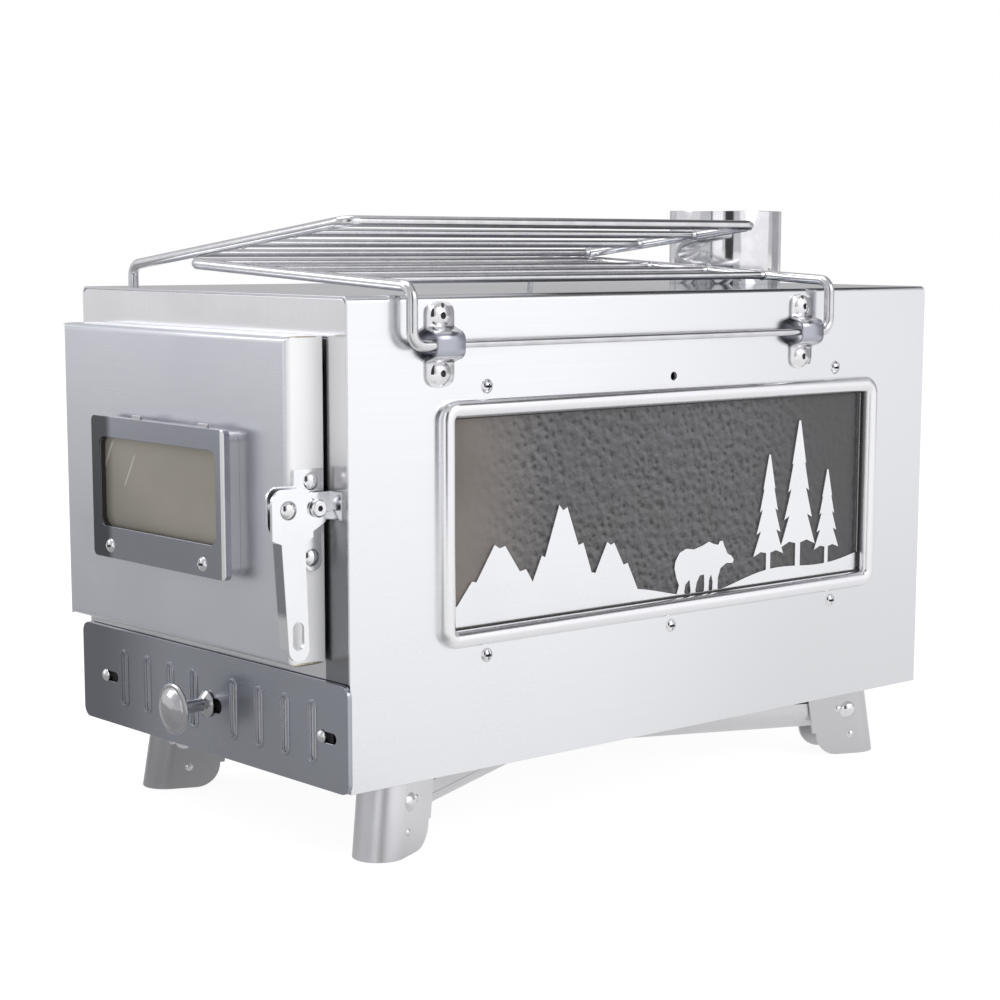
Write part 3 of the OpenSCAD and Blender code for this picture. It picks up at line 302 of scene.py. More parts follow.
def lathe(profile, origin, x, y, z, turns=48, relief=None):
    """profile (r, h) turned round the axis z through origin: (r cos a, r sin a, h + relief(r, a)).
    A profile that starts and ends at r = 0 is closed with poles, and any other is joined end to start."""
    r, h = np.asarray(profile, float).T
    solid = r[0] == 0
    if solid:
        top, bottom = h[0], h[-1]
        r, h = r[1:-1], h[1:-1]
    a = np.linspace(0, 2 * np.pi, turns, endpoint=False)[None, :]
    r, h = r[:, None] + 0 * a, h[:, None] + 0 * a
    lift = relief(r, a) if relief else 0 * h
    local = np.stack([r * np.cos(a), r * np.sin(a), h + lift], -1)
    grid = placed(local, origin, x, y, z)
    if not solid:
        return rings(grid, loop=True)
    ends = np.array([[0, 0, top + (relief(np.zeros(1), np.zeros(1))[0] if relief else 0)], [0, 0, bottom]])
    first, last = placed(ends, origin, x, y, z)
    return rings(grid, first, last)


def rounded(points, radius, steps=5):
    """A flat profile (r, h) whose inner corners are arcs of that radius."""
    flat = np.column_stack([np.asarray(points, float), np.zeros(len(points))])
    return filleted(flat, radius, steps, loop=False)[:, :2]


def recess(kind, size, depth, soft=0.12):
    """Depth of a driver's recess below the head at (r, a): a cross of two bars, a hexagon
    r < size / cos(a mod 60 - 30), or a round hole, each with sloping walls."""
    def relief(r, a):
        u, v = np.abs(r * np.cos(a)), np.abs(r * np.sin(a))
        if kind == "cross":
            w = size * 0.24
            bar_u = (1 - smooth(w - soft, w + soft, u)) * (1 - smooth(size - soft, size + 2 * soft, v))
            bar_v = (1 - smooth(w - soft, w + soft, v)) * (1 - smooth(size - soft, size + 2 * soft, u))
            dent = np.maximum(bar_u, bar_v) * (1 - 0.45 * r / size)
        elif kind == "hex":
            edge = size / np.cos(np.mod(a, math.pi / 3) - math.pi / 6)
            dent = 1 - smooth(edge - soft, edge + soft, r)
        else:
            dent = 1 - smooth(size - soft, size + soft, r)
        return -depth * np.clip(dent, 0, 1)
    return relief


def head(origin, out, radius, height, kind=None, size=1.0, depth=0.8, sink=0.4, turns=48):
    """Domed head of a screw or rivet, w = height - ball + sqrt(ball^2 - r^2), with its recess, a short
    straight edge and a flat underside that sits sink below the sheet."""
    ball = (radius * radius + height * height) / (2 * height)
    r = radius * np.linspace(0, 1, 26)
    dome = np.column_stack([r, height - ball + np.sqrt(ball * ball - r * r)])
    profile = np.vstack([dome, [[radius, -sink], [radius * 0.5, -sink], [0, -sink]]])
    relief = None
    if kind:
        cut = recess(kind, size, depth)
        relief = lambda q, a: np.where(q < radius * 0.97, cut(q, a), 0.0)
    return lathe(profile, origin, *square_to(out), out, turns, relief)


def cap(origin, out, radius, height, kind, size, depth, turns=60):
    """Flat head of a pin: a disc with a recess, whose rim falls by 0.4 heights as smooth(r) near its edge."""
    r = radius * np.linspace(0, 1, 30)
    disc = np.column_stack([r, height * (1 - 0.4 * smooth(0.78 * radius, 1.04 * radius, r))])
    profile = np.vstack([disc, [[radius, 0.2], [radius - 0.2, 0.0], [0, 0]]])
    cut = recess(kind, size, depth)
    relief = lambda q, a: np.where(q < radius * 0.7, cut(q, a), 0.0)
    return lathe(profile, origin, *square_to(out), out, turns, relief)


def strap(path, half_widths, thickness, origin, side, ease=0.25):
    """A bent strip: a rectangle whose corners are cut off by ease, carried along path (out, up) with half its
    thickness to each side of it and the given half widths to each side along y, then mirrored to the side and
    moved to origin."""
    tangent = unit(np.gradient(path, axis=0))
    normal = np.column_stack([-tangent[:, 1], tangent[:, 0]])
    corners = np.repeat(np.array([[1, -1], [1, 1], [-1, 1], [-1, -1]], float), 2, axis=0)
    inset = np.array([[ease, 0], [0, ease], [0, ease], [ease, 0]] * 2)
    wide = half_widths[:, None]
    w = corners[:, 0] * (wide - np.minimum(inset[:, 0], wide * 0.5))
    n = corners[:, 1] * (thickness / 2 - inset[:, 1])
    flat = path[:, None] + n[None, :, None] * normal[:, None]
    grid = np.stack([side * flat[..., 0], w, flat[..., 1]], -1) + np.asarray(origin, float)
    return rings(grid, grid[0].mean(0), grid[-1].mean(0))


def round_rectangle(centre, x, z, radius):
    """An upright path round centre (x, z), through corners at x and z to each side of it that are arcs."""
    path = filleted([[-x, 0, -z], [x, 0, -z], [x, 0, z], [-x, 0, z]], radius, 7)
    return path + (centre[0], 0, centre[1])


def frame_ring(centre, width, height, radius, wall, y0, y1):
    """Upright ring round an opening: the opening's rounded rectangle and one larger by wall, from y0 to y1."""
    inner, outer = (round_rectangle(centre, width / 2 + grow, height / 2 + grow, radius + grow)
                    for grow in (0.0, wall))
    grid = np.stack([inner + (0, y0, 0), inner + (0, y1, 0), outer + (0, y1, 0), outer + (0, y0, 0)], 1)
    return rings(grid, loop=True)


def pane(centre, width, height, radius, y0, y1, edge=0.2):
    """Flat plate with rounded corners from y0 to y1, its rims eased by edge."""
    layers = [round_rectangle(centre, width / 2 - inset, height / 2 - inset, radius) + (0, y, 0)
              for y, inset in ((y0, edge), (y0 + edge, 0.0), (y1 - edge, 0.0), (y1, edge))]
    middle = np.array([centre[0], 0, centre[1]])
    return rings(np.stack(layers), middle + (0, y0, 0), middle + (0, y1, 0))


def cross_shade_bars(origin, out, size, lift, thick=0.12):
    """Painted shade at the bottom of a cross recess: two dark crossing bars, each a four-sided pin lying in the
    recess.
    """
    x, y = square_to(out)
    half = np.array([[-1, -1], [1, -1], [1, 1], [-1, 1]], float) * (size * 0.98, size * 0.22)
    bars = []
    for u, v in ((x, y), (y, x)):
        ring = [half[:, :1] * u + half[:, 1:] * v + out * h + origin for h in (lift, lift + thick)]
        bars.append(rings(np.stack(ring), ring[0].mean(0), ring[1].mean(0)))
    return bars


def bead(start, end, radius, count, toward):
    """Weld bead: a tube from start to end whose radius is r (0.82 + 0.18 |cos(pi n t)|) for n ripples, times
    sqrt(4 t (1 - t) + 0.15), kept at or below 1, so that it narrows at the ends."""
    start, end = np.asarray(start, float), np.asarray(end, float)
    t = np.linspace(0, 1, 6 * count + 1)
    ripples = 0.82 + 0.18 * np.abs(np.cos(np.pi * count * t))
    r = radius * ripples * np.sqrt(np.clip(4 * t * (1 - t) + 0.15, 0, 1))
    return tube(start + t[:, None] * (end - start), r, toward, 14, loop=False)


def pin(origin, out, radius, length, turns=32, chamfer=0.15):
    """Plain round pin from origin along out, with small chamfers."""
    r, c, e = radius, chamfer, length
    profile = [[0, e], [r - c, e], [r, e - c], [r, c], [r - c, 0], [0, 0]]
    return lathe(profile, origin, *square_to(out), out, turns)


def cross_screw(at, out, length):
    """A cross-head screw seated at a point: its head and shank, and bars of painted shade on the floor of its
    recess.
    """
    at = np.asarray(at, float)
    screw = [head(at, out, 3.3, 1.9, "cross", 1.9, 1.2, turns=72), pin(at + out * 0.1, -out, 1.9, length)]
    return screw, cross_shade_bars(at, out, 1.9, 0.85)


# ------------------------------------------------------------------ pieces

def finish_piece(obj, body, nodes, material):
    """Gives a piece its material and body, and hides the parts it stands for."""
    obj.data.materials.append(material)
    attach(obj, body)
    if nodes:
        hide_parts(*nodes)


def piece(name, parts, body, nodes, material, sharp=38.0):
    """One mesh from several closed surfaces in stove millimetres."""
    start, all_quads, all_tris = 0, [], []
    for points, quads, tris in parts:
        all_quads.append(quads + start)
        all_tris.append(tris + start)
        start += len(points)
    points = to_row(np.vstack([p[0] for p in parts]))
    mesh = bpy.data.meshes.new(name)
    mesh.from_pydata(points.tolist(), [], np.vstack(all_quads).tolist() + np.vstack(all_tris).tolist())
    mesh.polygons.foreach_set("use_smooth", np.ones(len(mesh.polygons), bool))
    mesh.set_sharp_from_angle(angle=math.radians(sharp))
    obj = bpy.data.objects.new(name, mesh)
    bpy.context.scene.collection.objects.link(obj)
    finish_piece(obj, body, nodes, material)


def deburred(node, name, body, material, radius, segments=2, flat=0.4):
    """The node's own solid with its sheet edges rounded: a copy of its mesh is merged, faces within flat degrees
    of each other are joined, and a Bevel of that radius runs along every edge sharper than 40 degrees. Without a
    radius, its edges sharper than 35 degrees are only marked sharp."""
    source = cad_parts[node].data
    points = np.empty(len(source.vertices) * 3)
    source.vertices.foreach_get("co", points)
    corners = np.empty(len(source.loops), int)
    source.loops.foreach_get("vertex_index", corners)
    mesh = bpy.data.meshes.new(name)
    mesh.from_pydata(points.reshape(-1, 3).tolist(), [], corners.reshape(-1, 3).tolist())
    work = bmesh.new()
    work.from_mesh(mesh)
    bmesh.ops.remove_doubles(work, verts=work.verts[:], dist=1e-6)
    bmesh.ops.dissolve_limit(work, angle_limit=math.radians(flat), verts=work.verts[:], edges=work.edges[:])
    work.to_mesh(mesh)
    work.free()
    mesh.polygons.foreach_set("use_smooth", np.ones(len(mesh.polygons), bool))
    obj = bpy.data.objects.new(name, mesh)
    bpy.context.scene.collection.objects.link(obj)
    if radius:
        bevel = obj.modifiers.new("Deburred edges", "BEVEL")
        bevel.width = radius
        bevel.segments = segments
        bevel.limit_method = "ANGLE"
        bevel.angle_limit = math.radians(40)
        bevel.use_clamp_overlap = False
        weighted = obj.modifiers.new("Flat faces stay flat", "WEIGHTED_NORMAL")
        weighted.mode = "FACE_AREA"
        weighted.weight = 50
        weighted.keep_sharp = True
    else:
        mesh.set_sharp_from_angle(angle=math.radians(35))
    finish_piece(obj, body, [node], material)


# ------------------------------------------------------------------ materials

def new_group(name, inputs, outputs):
    """An empty shader node group with float or vector sockets."""
    group = bpy.data.node_groups.new(name, "ShaderNodeTree")
    for label, value in inputs:
        kind = "NodeSocketFloat" if isinstance(value, (int, float)) else "NodeSocketVector"
        group.interface.new_socket(label, in_out="INPUT", socket_type=kind).default_value = value
    for label in outputs:
        group.interface.new_socket(label, in_out="OUTPUT", socket_type="NodeSocketFloat")
    return group, group.nodes.new("NodeGroupInput"), group.nodes.new("NodeGroupOutput")


def maths(tree, kind, a, b=0.0):
    """A Math node; a and b are sockets or numbers."""
    node = tree.nodes.new("ShaderNodeMath")
    node.operation = kind
    for socket, value in zip(node.inputs, (a, b)):
        if isinstance(value, (int, float)):
            socket.default_value = value
        else:
            tree.links.new(value, socket)
    return node.outputs[0]


def axes(tree, place):
    """The three coordinates of place as sockets."""
    split = tree.nodes.new("ShaderNodeSeparateXYZ")
    tree.links.new(place, split.inputs[0])
    return split.outputs


def ranged(tree, value, low, high, to_low=0.0, to_high=1.0):
    """value from low..high to to_low..to_high, smoothly and clamped."""
    node = tree.nodes.new("ShaderNodeMapRange")
    node.interpolation_type = "SMOOTHSTEP"
    for k, number in enumerate((low, high, to_low, to_high)):
        if isinstance(number, (int, float)):
            node.inputs[k + 1].default_value = number
        else:
            tree.links.new(number, node.inputs[k + 1])
    tree.links.new(value, node.inputs[0])
    return node.outputs[0]


def noise(tree, vector, scale, detail=3.0, rough=0.55):
    """Noise texture on vector."""
    node = tree.nodes.new("ShaderNodeTexNoise")
    node.inputs["Detail"].default_value = detail
    node.inputs["Roughness"].default_value = rough
    if isinstance(scale, (int, float)):
        node.inputs["Scale"].default_value = scale
    else:
        tree.links.new(scale, node.inputs["Scale"])
    tree.links.new(vector, node.inputs["Vector"])
    return node.outputs["Fac"]


def stretched(tree, vector, by):
    """vector multiplied by a vector socket or value."""
    node = tree.nodes.new("ShaderNodeVectorMath")
    node.operation = "MULTIPLY"
    tree.links.new(vector, node.inputs[0])
    if isinstance(by, (tuple, list)):
        node.inputs[1].default_value = by
    else:
        tree.links.new(by, node.inputs[1])
    return node.outputs[0]


def brushed_group():
    """Grain of brushed steel: noise drawn out along the brushing, fine for Height and wider for Streaks."""
    group, given, made = new_group(
        "Brushed grain", [("Vector", (0, 0, 0)), ("Stretch", (900.0, 900.0, 25.0))], ["Height", "Streaks"])
    drawn = stretched(group, given.outputs["Vector"], given.outputs["Stretch"])
    group.links.new(noise(group, drawn, 1.0, 4.0, 0.6), made.inputs["Height"])
    group.links.new(ranged(group, noise(group, drawn, 0.22, 2.0), 0.3, 0.7), made.inputs["Streaks"])
    return group


def patches_group():
    """Soft patches left by handling and rolling: noise, its middle drawn apart to 0 and 1."""
    group, given, made = new_group(
        "Soft patches", [("Vector", (0, 0, 0)), ("Scale", 12.0), ("Low", 0.35), ("High", 0.7)], ["Mask"])
    cloud = noise(group, given.outputs["Vector"], given.outputs["Scale"], 3.0)
    group.links.new(ranged(group, cloud, given.outputs["Low"], given.outputs["High"]), made.inputs["Mask"])
    return group


def scratches_group():
    """Hairline scratches in two directions: noise drawn out along a turned axis, of which only the crests
    count."""
    group, given, made = new_group(
        "Hairline scratches", [("Vector", (0, 0, 0)), ("Share", 0.7)], ["Mask"])
    found = []
    for turn in ((0.5, 0.9, 0.4), (2.1, 0.3, 1.9)):
        node = group.nodes.new("ShaderNodeVectorRotate")
        node.rotation_type = "EULER_XYZ"
        node.inputs["Rotation"].default_value = turn
        group.links.new(given.outputs["Vector"], node.inputs["Vector"])
        fine = noise(group, stretched(group, node.outputs[0], (1400.0, 1400.0, 30.0)), 1.0, 1.0)
        found.append(ranged(group, fine, given.outputs["Share"], 0.84))
    group.links.new(maths(group, "MAXIMUM", *found), made.inputs["Mask"])
    return group


def hammered_group():
    """Dimples of hammered glass: smooth distance to scattered points, warped by noise."""
    group, given, made = new_group("Hammered dimples", [("Vector", (0, 0, 0)), ("Scale", 260.0)], ["Height"])
    cells = group.nodes.new("ShaderNodeTexVoronoi")
    cells.feature = "SMOOTH_F1"
    cells.inputs["Smoothness"].default_value = 0.7
    group.links.new(given.outputs["Vector"], cells.inputs["Vector"])
    group.links.new(given.outputs["Scale"], cells.inputs["Scale"])
    ripple = noise(group, given.outputs["Vector"], 330.0, 2.0)
    group.links.new(maths(group, "ADD", cells.outputs["Distance"], maths(group, "MULTIPLY", ripple, 0.8)),
                    made.inputs["Height"])
    return group


GROUPS = {}


def effect(tree, name, vector, **values):
    """One of the shared groups, placed in tree with its own values."""
    builders = {"Brushed grain": brushed_group, "Soft patches": patches_group,
                "Hairline scratches": scratches_group, "Hammered dimples": hammered_group}
    if name not in GROUPS:
        GROUPS[name] = builders[name]()
    node = tree.nodes.new("ShaderNodeGroup")
    node.node_tree = GROUPS[name]
    tree.links.new(vector, node.inputs["Vector"])
    for label, value in values.items():
        node.inputs[label.capitalize()].default_value = value
    return node.outputs


def blank(name):
    """A material with a Principled shader, its tree and Object coordinates."""
    material = bpy.data.materials.new(name)
    material.use_nodes = True
    tree = material.node_tree
    shader = tree.nodes["Principled BSDF"]
    place = tree.nodes.new("ShaderNodeTexCoord").outputs["Object"]
    return material, tree, shader, place


def mixed(tree, mask, a, b):
    """Colour a where mask is 0 and b where it is 1; a and b are colours or sockets."""
    node = tree.nodes.new("ShaderNodeMix")
    node.data_type = "RGBA"
    tree.links.new(mask, node.inputs["Factor"])
    for socket, value in ((node.inputs[6], a), (node.inputs[7], b)):
        if isinstance(value, (tuple, list)):
            socket.default_value = (*value[:3], 1)
        else:
            tree.links.new(value, socket)
    return node.outputs[2]


def bumped(tree, height, strength, distance, into):
    """A Bump node on height, with its distance in metres, that feeds into."""
    node = tree.nodes.new("ShaderNodeBump")
    node.inputs["Strength"].default_value = strength
    node.inputs["Distance"].default_value = distance
    tree.links.new(height, node.inputs["Height"])
    tree.links.new(node.outputs[0], into)


def scaled(colour, by):
    """A colour with each part multiplied and kept at or below 1."""
    return tuple(min(1.0, c * by) for c in colour)


def steel(name, colour, rough, stretch, grain, dull, tone, metallic=1.0, patch=14.0, zone=None):
    """Sheet steel: brushed grain in height, tone and roughness, soft patches in tone and roughness, and hairline
    scratches that are duller. grain is the bump's strength, dull what the patches add to the roughness, tone
    their share of the colour and patch their scale. zone is (axis, low, high, colour, roughness) for a band of
    painted light, darker on the hot plate and white on the door's side wall, with another roughness, that begins
    between low and high along an axis of Object coordinates and lasts beyond."""
    material, tree, shader, place = blank(name)
    colour = tuple(colour)
    grain_out = effect(tree, "Brushed grain", place, stretch=stretch)
    cloud = effect(tree, "Soft patches", place, scale=patch)["Mask"]
    marks = effect(tree, "Hairline scratches", place)["Mask"]
    base = mixed(tree, cloud, colour, scaled(colour, tone))
    base = mixed(tree, maths(tree, "MULTIPLY", grain_out["Streaks"], 0.12), base, scaled(colour, 0.9))
    roughness = ranged(tree, cloud, 0.0, 1.0, rough, rough + dull)
    roughness = maths(tree, "ADD", roughness, maths(tree, "MULTIPLY", grain_out["Streaks"], 0.02))
    roughness = maths(tree, "ADD", roughness, maths(tree, "MULTIPLY", marks, 0.05))
    if zone:
        axis, low, high, other, other_rough = zone
        inside = ranged(tree, axes(tree, place)[axis], low, high)
        base = mixed(tree, inside, base, mixed(tree, cloud, tuple(other), scaled(other, tone)))
        roughness = ranged(tree, inside, 0.0, 1.0, roughness, other_rough)
    tree.links.new(base, shader.inputs["Base Color"])
    tree.links.new(roughness, shader.inputs["Roughness"])
    shader.inputs["Metallic"].default_value = metallic
    bumped(tree, grain_out["Height"], grain, GRAIN_HEIGHT, shader.inputs["Normal"])
    return material


def within(tree, place, axis, low, high, soft=0.0003):
    """1 where a coordinate lies between low and high, falling to 0 over soft."""
    value = axes(tree, place)[axis]
    above, below = ranged(tree, value, low - soft, low), ranged(tree, value, high, high + soft, 1.0, 0.0)
    return maths(tree, "MULTIPLY", above, below)


def paint_shade_and_highlight(material, *layers):
    """Painted shade and highlight: another colour and roughness inside boxes of Object coordinates. Each layer is
    (boxes, colour, roughness) and lies over the ones before it, and each box is ((axis, low, high[, soft]), ...)."""
    tree = material.node_tree
    shader = tree.nodes["Principled BSDF"]
    place = next(node for node in tree.nodes if node.type == "TEX_COORD").outputs["Object"]
    for boxes, colour, rough in layers:
        mask = None
        for box in boxes:
            share = None
            for edges in box:
                part = within(tree, place, *edges)
                share = part if share is None else maths(tree, "MULTIPLY", share, part)
            mask = share if mask is None else maths(tree, "MAXIMUM", mask, share)
        base, old = (shader.inputs[k].links[0].from_socket for k in ("Base Color", "Roughness"))
        tree.links.new(mixed(tree, mask, base, tuple(colour)), shader.inputs["Base Color"])
        tree.links.new(ranged(tree, mask, 0.0, 1.0, old, rough), shader.inputs["Roughness"])
    return material


def polished(name, colour, rough, dull):
    """Bright wire or fastener: nearly mirror-like, with handling patches and fine drawing lines."""
    material, tree, shader, place = blank(name)
    colour = tuple(colour)
    cloud = effect(tree, "Soft patches", place, scale=90.0)["Mask"]
    marks = effect(tree, "Hairline scratches", place, share=0.66)["Mask"]
    tree.links.new(mixed(tree, cloud, colour, scaled(colour, 0.88)), shader.inputs["Base Color"])
    roughness = ranged(tree, cloud, 0.0, 1.0, rough, rough + dull)
    tree.links.new(maths(tree, "ADD", roughness, maths(tree, "MULTIPLY", marks, 0.04)), shader.inputs["Roughness"])
    shader.inputs["Metallic"].default_value = 1.0
    bumped(tree, noise(tree, place, 500.0, 2.0), 0.03, GRAIN_HEIGHT, shader.inputs["Normal"])
    return material


def hammered_glass(name, colour):
    """Smoked glass with a hammered face: its colour follows the slope of its dimples, which is their height less
    the height a little aside, and is darker at their middles, painted shade and highlight in place of the light on
    them.
    It is warmer and lighter towards the window's front end, a painted reflection, and smoother and darker towards
    the rear."""
    material, tree, shader, place = blank(name)
    dimple_scale = 250.0
    dimples = effect(tree, "Hammered dimples", place, scale=dimple_scale)["Height"]
    aside = tree.nodes.new("ShaderNodeVectorMath")
    aside.inputs[1].default_value = (0.0, 0.0004, 0.0008)
    tree.links.new(place, aside.inputs[0])
    beside = effect(tree, "Hammered dimples", aside.outputs[0], scale=dimple_scale)["Height"]
    y = axes(tree, place)[ALONG_Y]
    front = ranged(tree, y, -0.115, -0.05, 1.0, 0.0)
    rear = ranged(tree, y, 0.04, 0.15)
    # painted shade and highlight: one side of each dimple lighter, the other and its middle darker
    slope = maths(tree, "MULTIPLY", maths(tree, "SUBTRACT", dimples, beside), 1.9)
    pit_shading = maths(tree, "ADD", slope, ranged(tree, dimples, 0.4, 0.85, 0.72, 1.12))
    pit_shading = maths(tree, "MAXIMUM", pit_shading, 0.25)
    flat = maths(tree, "MAXIMUM", front, maths(tree, "MULTIPLY", rear, 0.85))
    pit_shading = ranged(tree, flat, 0.0, 1.0, pit_shading, 1.0)
    # the warmer, lighter front end is a painted reflection
    base = mixed(tree, front, tuple(colour), (0.19, 0.165, 0.15))
    base = mixed(tree, rear, base, scaled(colour, 0.72))
    cloud = effect(tree, "Soft patches", place, scale=26.0)["Mask"]
    base = mixed(tree, maths(tree, "MULTIPLY", cloud, 0.35), base, (0.075, 0.062, 0.05))
    shade = tree.nodes.new("ShaderNodeVectorMath")
    shade.operation = "SCALE"
    tree.links.new(base, shade.inputs[0])
    tree.links.new(pit_shading, shade.inputs["Scale"])
    tree.links.new(shade.outputs[0], shader.inputs["Base Color"])
    tree.links.new(ranged(tree, cloud, 0.0, 1.0, 0.14, 0.24), shader.inputs["Roughness"])
    shader.inputs["IOR"].default_value = 1.5
    bumped(tree, dimples, 0.5, 0.0006, shader.inputs["Normal"])
    return material


def clear_glass(name, colour):
    """Door glass over a dim firebox: beige, darker towards its lower left, with soft patches and two faint
    slanting painted reflections, light streaks each where |x - 0.62 z - c| is under its half width and z lies
    within its ends."""
    material, tree, shader, place = blank(name)
    cloud = effect(tree, "Soft patches", place, scale=18.0)["Mask"]
    x, _, z = axes(tree, place)
    base = mixed(tree, cloud, tuple(colour), scaled(colour, 0.9))
    corner = ranged(tree, maths(tree, "ADD", x, z), 0.10, 0.155, 1.0, 0.0)
    base = mixed(tree, maths(tree, "MULTIPLY", corner, 0.55), base, scaled(colour, 0.5))
    slant = maths(tree, "SUBTRACT", x, maths(tree, "MULTIPLY", z, 0.62))
    # two painted reflections: faint light streaks across the glass
    for centre, half, low, high in ((-0.1478, 0.0011, 0.158, 0.176), (-0.1262, 0.0008, 0.160, 0.171)):
        off = maths(tree, "ABSOLUTE", maths(tree, "SUBTRACT", slant, centre))
        streak = ranged(tree, off, 0.0, half, 0.4, 0.0)
        streak = maths(tree, "MULTIPLY", streak, within(tree, place, ALONG_Z, low, high, 0.003))
        base = mixed(tree, streak, base, (0.75, 0.73, 0.68))
    tree.links.new(base, shader.inputs["Base Color"])
    tree.links.new(ranged(tree, cloud, 0.0, 1.0, 0.06, 0.12), shader.inputs["Roughness"])
    shader.inputs["IOR"].default_value = 1.45
    shader.inputs["Coat Roughness"].default_value = 0.04
    shader.inputs["Coat Weight"].default_value = 0.2
    return material


FINISHES = {}


def finish(name):
    """The named finish, made once from the user's colours."""
    if name in FINISHES:
        return FINISHES[name]
    tint = bpy.context.scene.stove_colours
    makers = {
        # painted shade: the hot plate, the side panels' rear and the hot plate's rear are painted darker
        "shell": lambda n: paint_shade_and_highlight(
            steel(n, tint.shell, 0.2, LENGTHWISE, 0.05, 0.06, 0.97, patch=7.0, zone=TOP_SHADE_ZONE),
            ([SIDE_REAR_SHADE], scaled(tint.shell, 0.86), 0.2), ([TOP_REAR_SHADE], (0.31, 0.32, 0.35), 0.06)),
        # painted shade: the strip right of the door is painted dark
        "front": lambda n: paint_shade_and_highlight(
            steel(n, tint.front, 0.12, UPRIGHT, 0.03, 0.05, 0.96), ([FRONT_STRIP_SHADE], (0.28, 0.285, 0.3), 0.3)),
        "plain": lambda n: steel(n, scaled(tint.front, 0.8), 0.3, LENGTHWISE, 0.12, 0.15, 0.85),
        # painted highlight: the door's side wall is painted white
        "door": lambda n: steel(n, tint.door, 0.27, ACROSS, 0.1, 0.08, 0.95, zone=DOOR_SIDE_HIGHLIGHT_ZONE),
        # painted highlight on the cover's right fold, painted shade on its left part
        "cover": lambda n: paint_shade_and_highlight(
            steel(n, tint.cover, 0.14, ACROSS, 0.06, 0.08, 0.9),
            ([COVER_RIGHT_HIGHLIGHT], (1.0, 1.0, 1.0), 0.3), ([COVER_LEFT_SHADE], scaled(tint.cover, 0.28), 0.2)),
        # painted shade: the window box's mouth is painted near black
        "box": lambda n: paint_shade_and_highlight(
            steel(n, scaled(tint.front, 0.78), 0.34, ACROSS, 0.04, 0.05, 0.96),
            ([BOX_MOUTH_SHADE], (0.028, 0.026, 0.022), 0.5)),
        "latch": lambda n: steel(n, scaled(tint.shell, 1.04), 0.15, UPRIGHT, 0.05, 0.08, 0.95, patch=40.0),
        # painted shade: the air plate's left end is painted darker
        "air": lambda n: paint_shade_and_highlight(
            steel(n, tint.air, 0.2, ACROSS, 0.06, 0.08, 0.9, patch=16.0),
            ([AIR_LEFT_SHADE], scaled(tint.air, 0.52), 0.2)),
        "grate": lambda n: steel(n, (0.3, 0.3, 0.31), 0.42, ACROSS, 0.3, 0.15, 0.7),
        # painted shade: the rear brackets, and darker still the left ones, are painted darker
        "bracket": lambda n: paint_shade_and_highlight(
            steel(n, scaled(tint.bracket, 1.2), 0.28, UPRIGHT, 0.04, 0.06, 0.95),
            ([REAR_BRACKET_SHADE], scaled(tint.bracket, 0.92), 0.28),
            ([LEFT_BRACKET_SHADE], scaled(tint.bracket, 0.62), 0.3)),
        "leg": lambda n: steel(n, scaled(tint.bracket, 1.1), 0.22, LENGTHWISE, 0.1, 0.12, 0.9),
        "picture": lambda n: steel(n, scaled(tint.shell, 1.0), 0.2, LENGTHWISE, 0.06, 0.08, 0.96, patch=18.0),
        # painted shade: the clips' middle loop is painted a dark band
        "clip": lambda n: paint_shade_and_highlight(
            steel(n, scaled(tint.chrome, 0.95), 0.14, UPRIGHT, 0.04, 0.06, 0.94, patch=40.0),
            ([CLIP_MIDDLE_SHADE], (0.45, 0.46, 0.52), 0.25)),
        # painted shade: the lever's folded edge is painted dark
        "lever": lambda n: paint_shade_and_highlight(
            steel(n, scaled(tint.shell, 1.04), 0.15, UPRIGHT, 0.04, 0.06, 0.97, patch=40.0),
            ([LEVER_FOLD_SHADE], (0.36, 0.37, 0.4), 0.3)),
        # painted light: the shutter is painted white so that the louvre slots look lit, with painted shade round
        # the screw and knob slots
        "shutter": lambda n: paint_shade_and_highlight(
            steel(n, (1.0, 1.0, 1.0), 0.6, ACROSS, 0.06, 0.06, 0.97, metallic=0.6),
            (SHUTTER_SLOT_SHADE, (0.03, 0.03, 0.032), 0.5)),
        # painted shadow: near-black rings round the glasses
        "shadow_ring": lambda n: steel(n, (0.03, 0.028, 0.024), 0.6, ACROSS, 0.1, 0.1, 0.7, metallic=0.0),
        # painted shade: dark grey for the floors of recesses and bores
        "recess": lambda n: steel(n, (0.05, 0.05, 0.055), 0.45, ACROSS, 0.1, 0.1, 0.8, patch=200.0),
        "weld": lambda n: steel(n, (0.52, 0.47, 0.38), 0.3, UPRIGHT, 0.4, 0.15, 0.7, patch=300.0),
        "rim": lambda n: steel(n, scaled(tint.chrome, 1.1), 0.17, ACROSS, 0.02, 0.03, 0.97, patch=9.0),
        "collar": lambda n: polished(n, scaled(tint.chrome, 1.06), 0.08, 0.03),
        "wire": lambda n: polished(n, scaled(tint.chrome, 0.9), 0.2, 0.02),
        "fastener": lambda n: polished(n, scaled(tint.chrome, 1.05), 0.05, 0.06),
        "knob": lambda n: polished(n, scaled(tint.chrome, 0.72), 0.16, 0.08),
        "side glass": lambda n: hammered_glass(n, tint.side_glass),
        "door glass": lambda n: clear_glass(n, tint.door_glass),
    }
    FINISHES[name] = makers[name]("stove " + name)
    return FINISHES[name]


def deburr_all(rows):
    """Rows of (node, piece name, body, slot, finish, fine), where slot is not used: the rounding is the sheets',
    or the fine one.
    """
    sizes = bpy.context.scene.stove_sizes
    for node, name, body, slot, look, fine in rows:
        deburred(node, name, body, finish(look), sizes.fine_round if fine else sizes.sheet_round)


# ------------------------------------------------------------------ operators

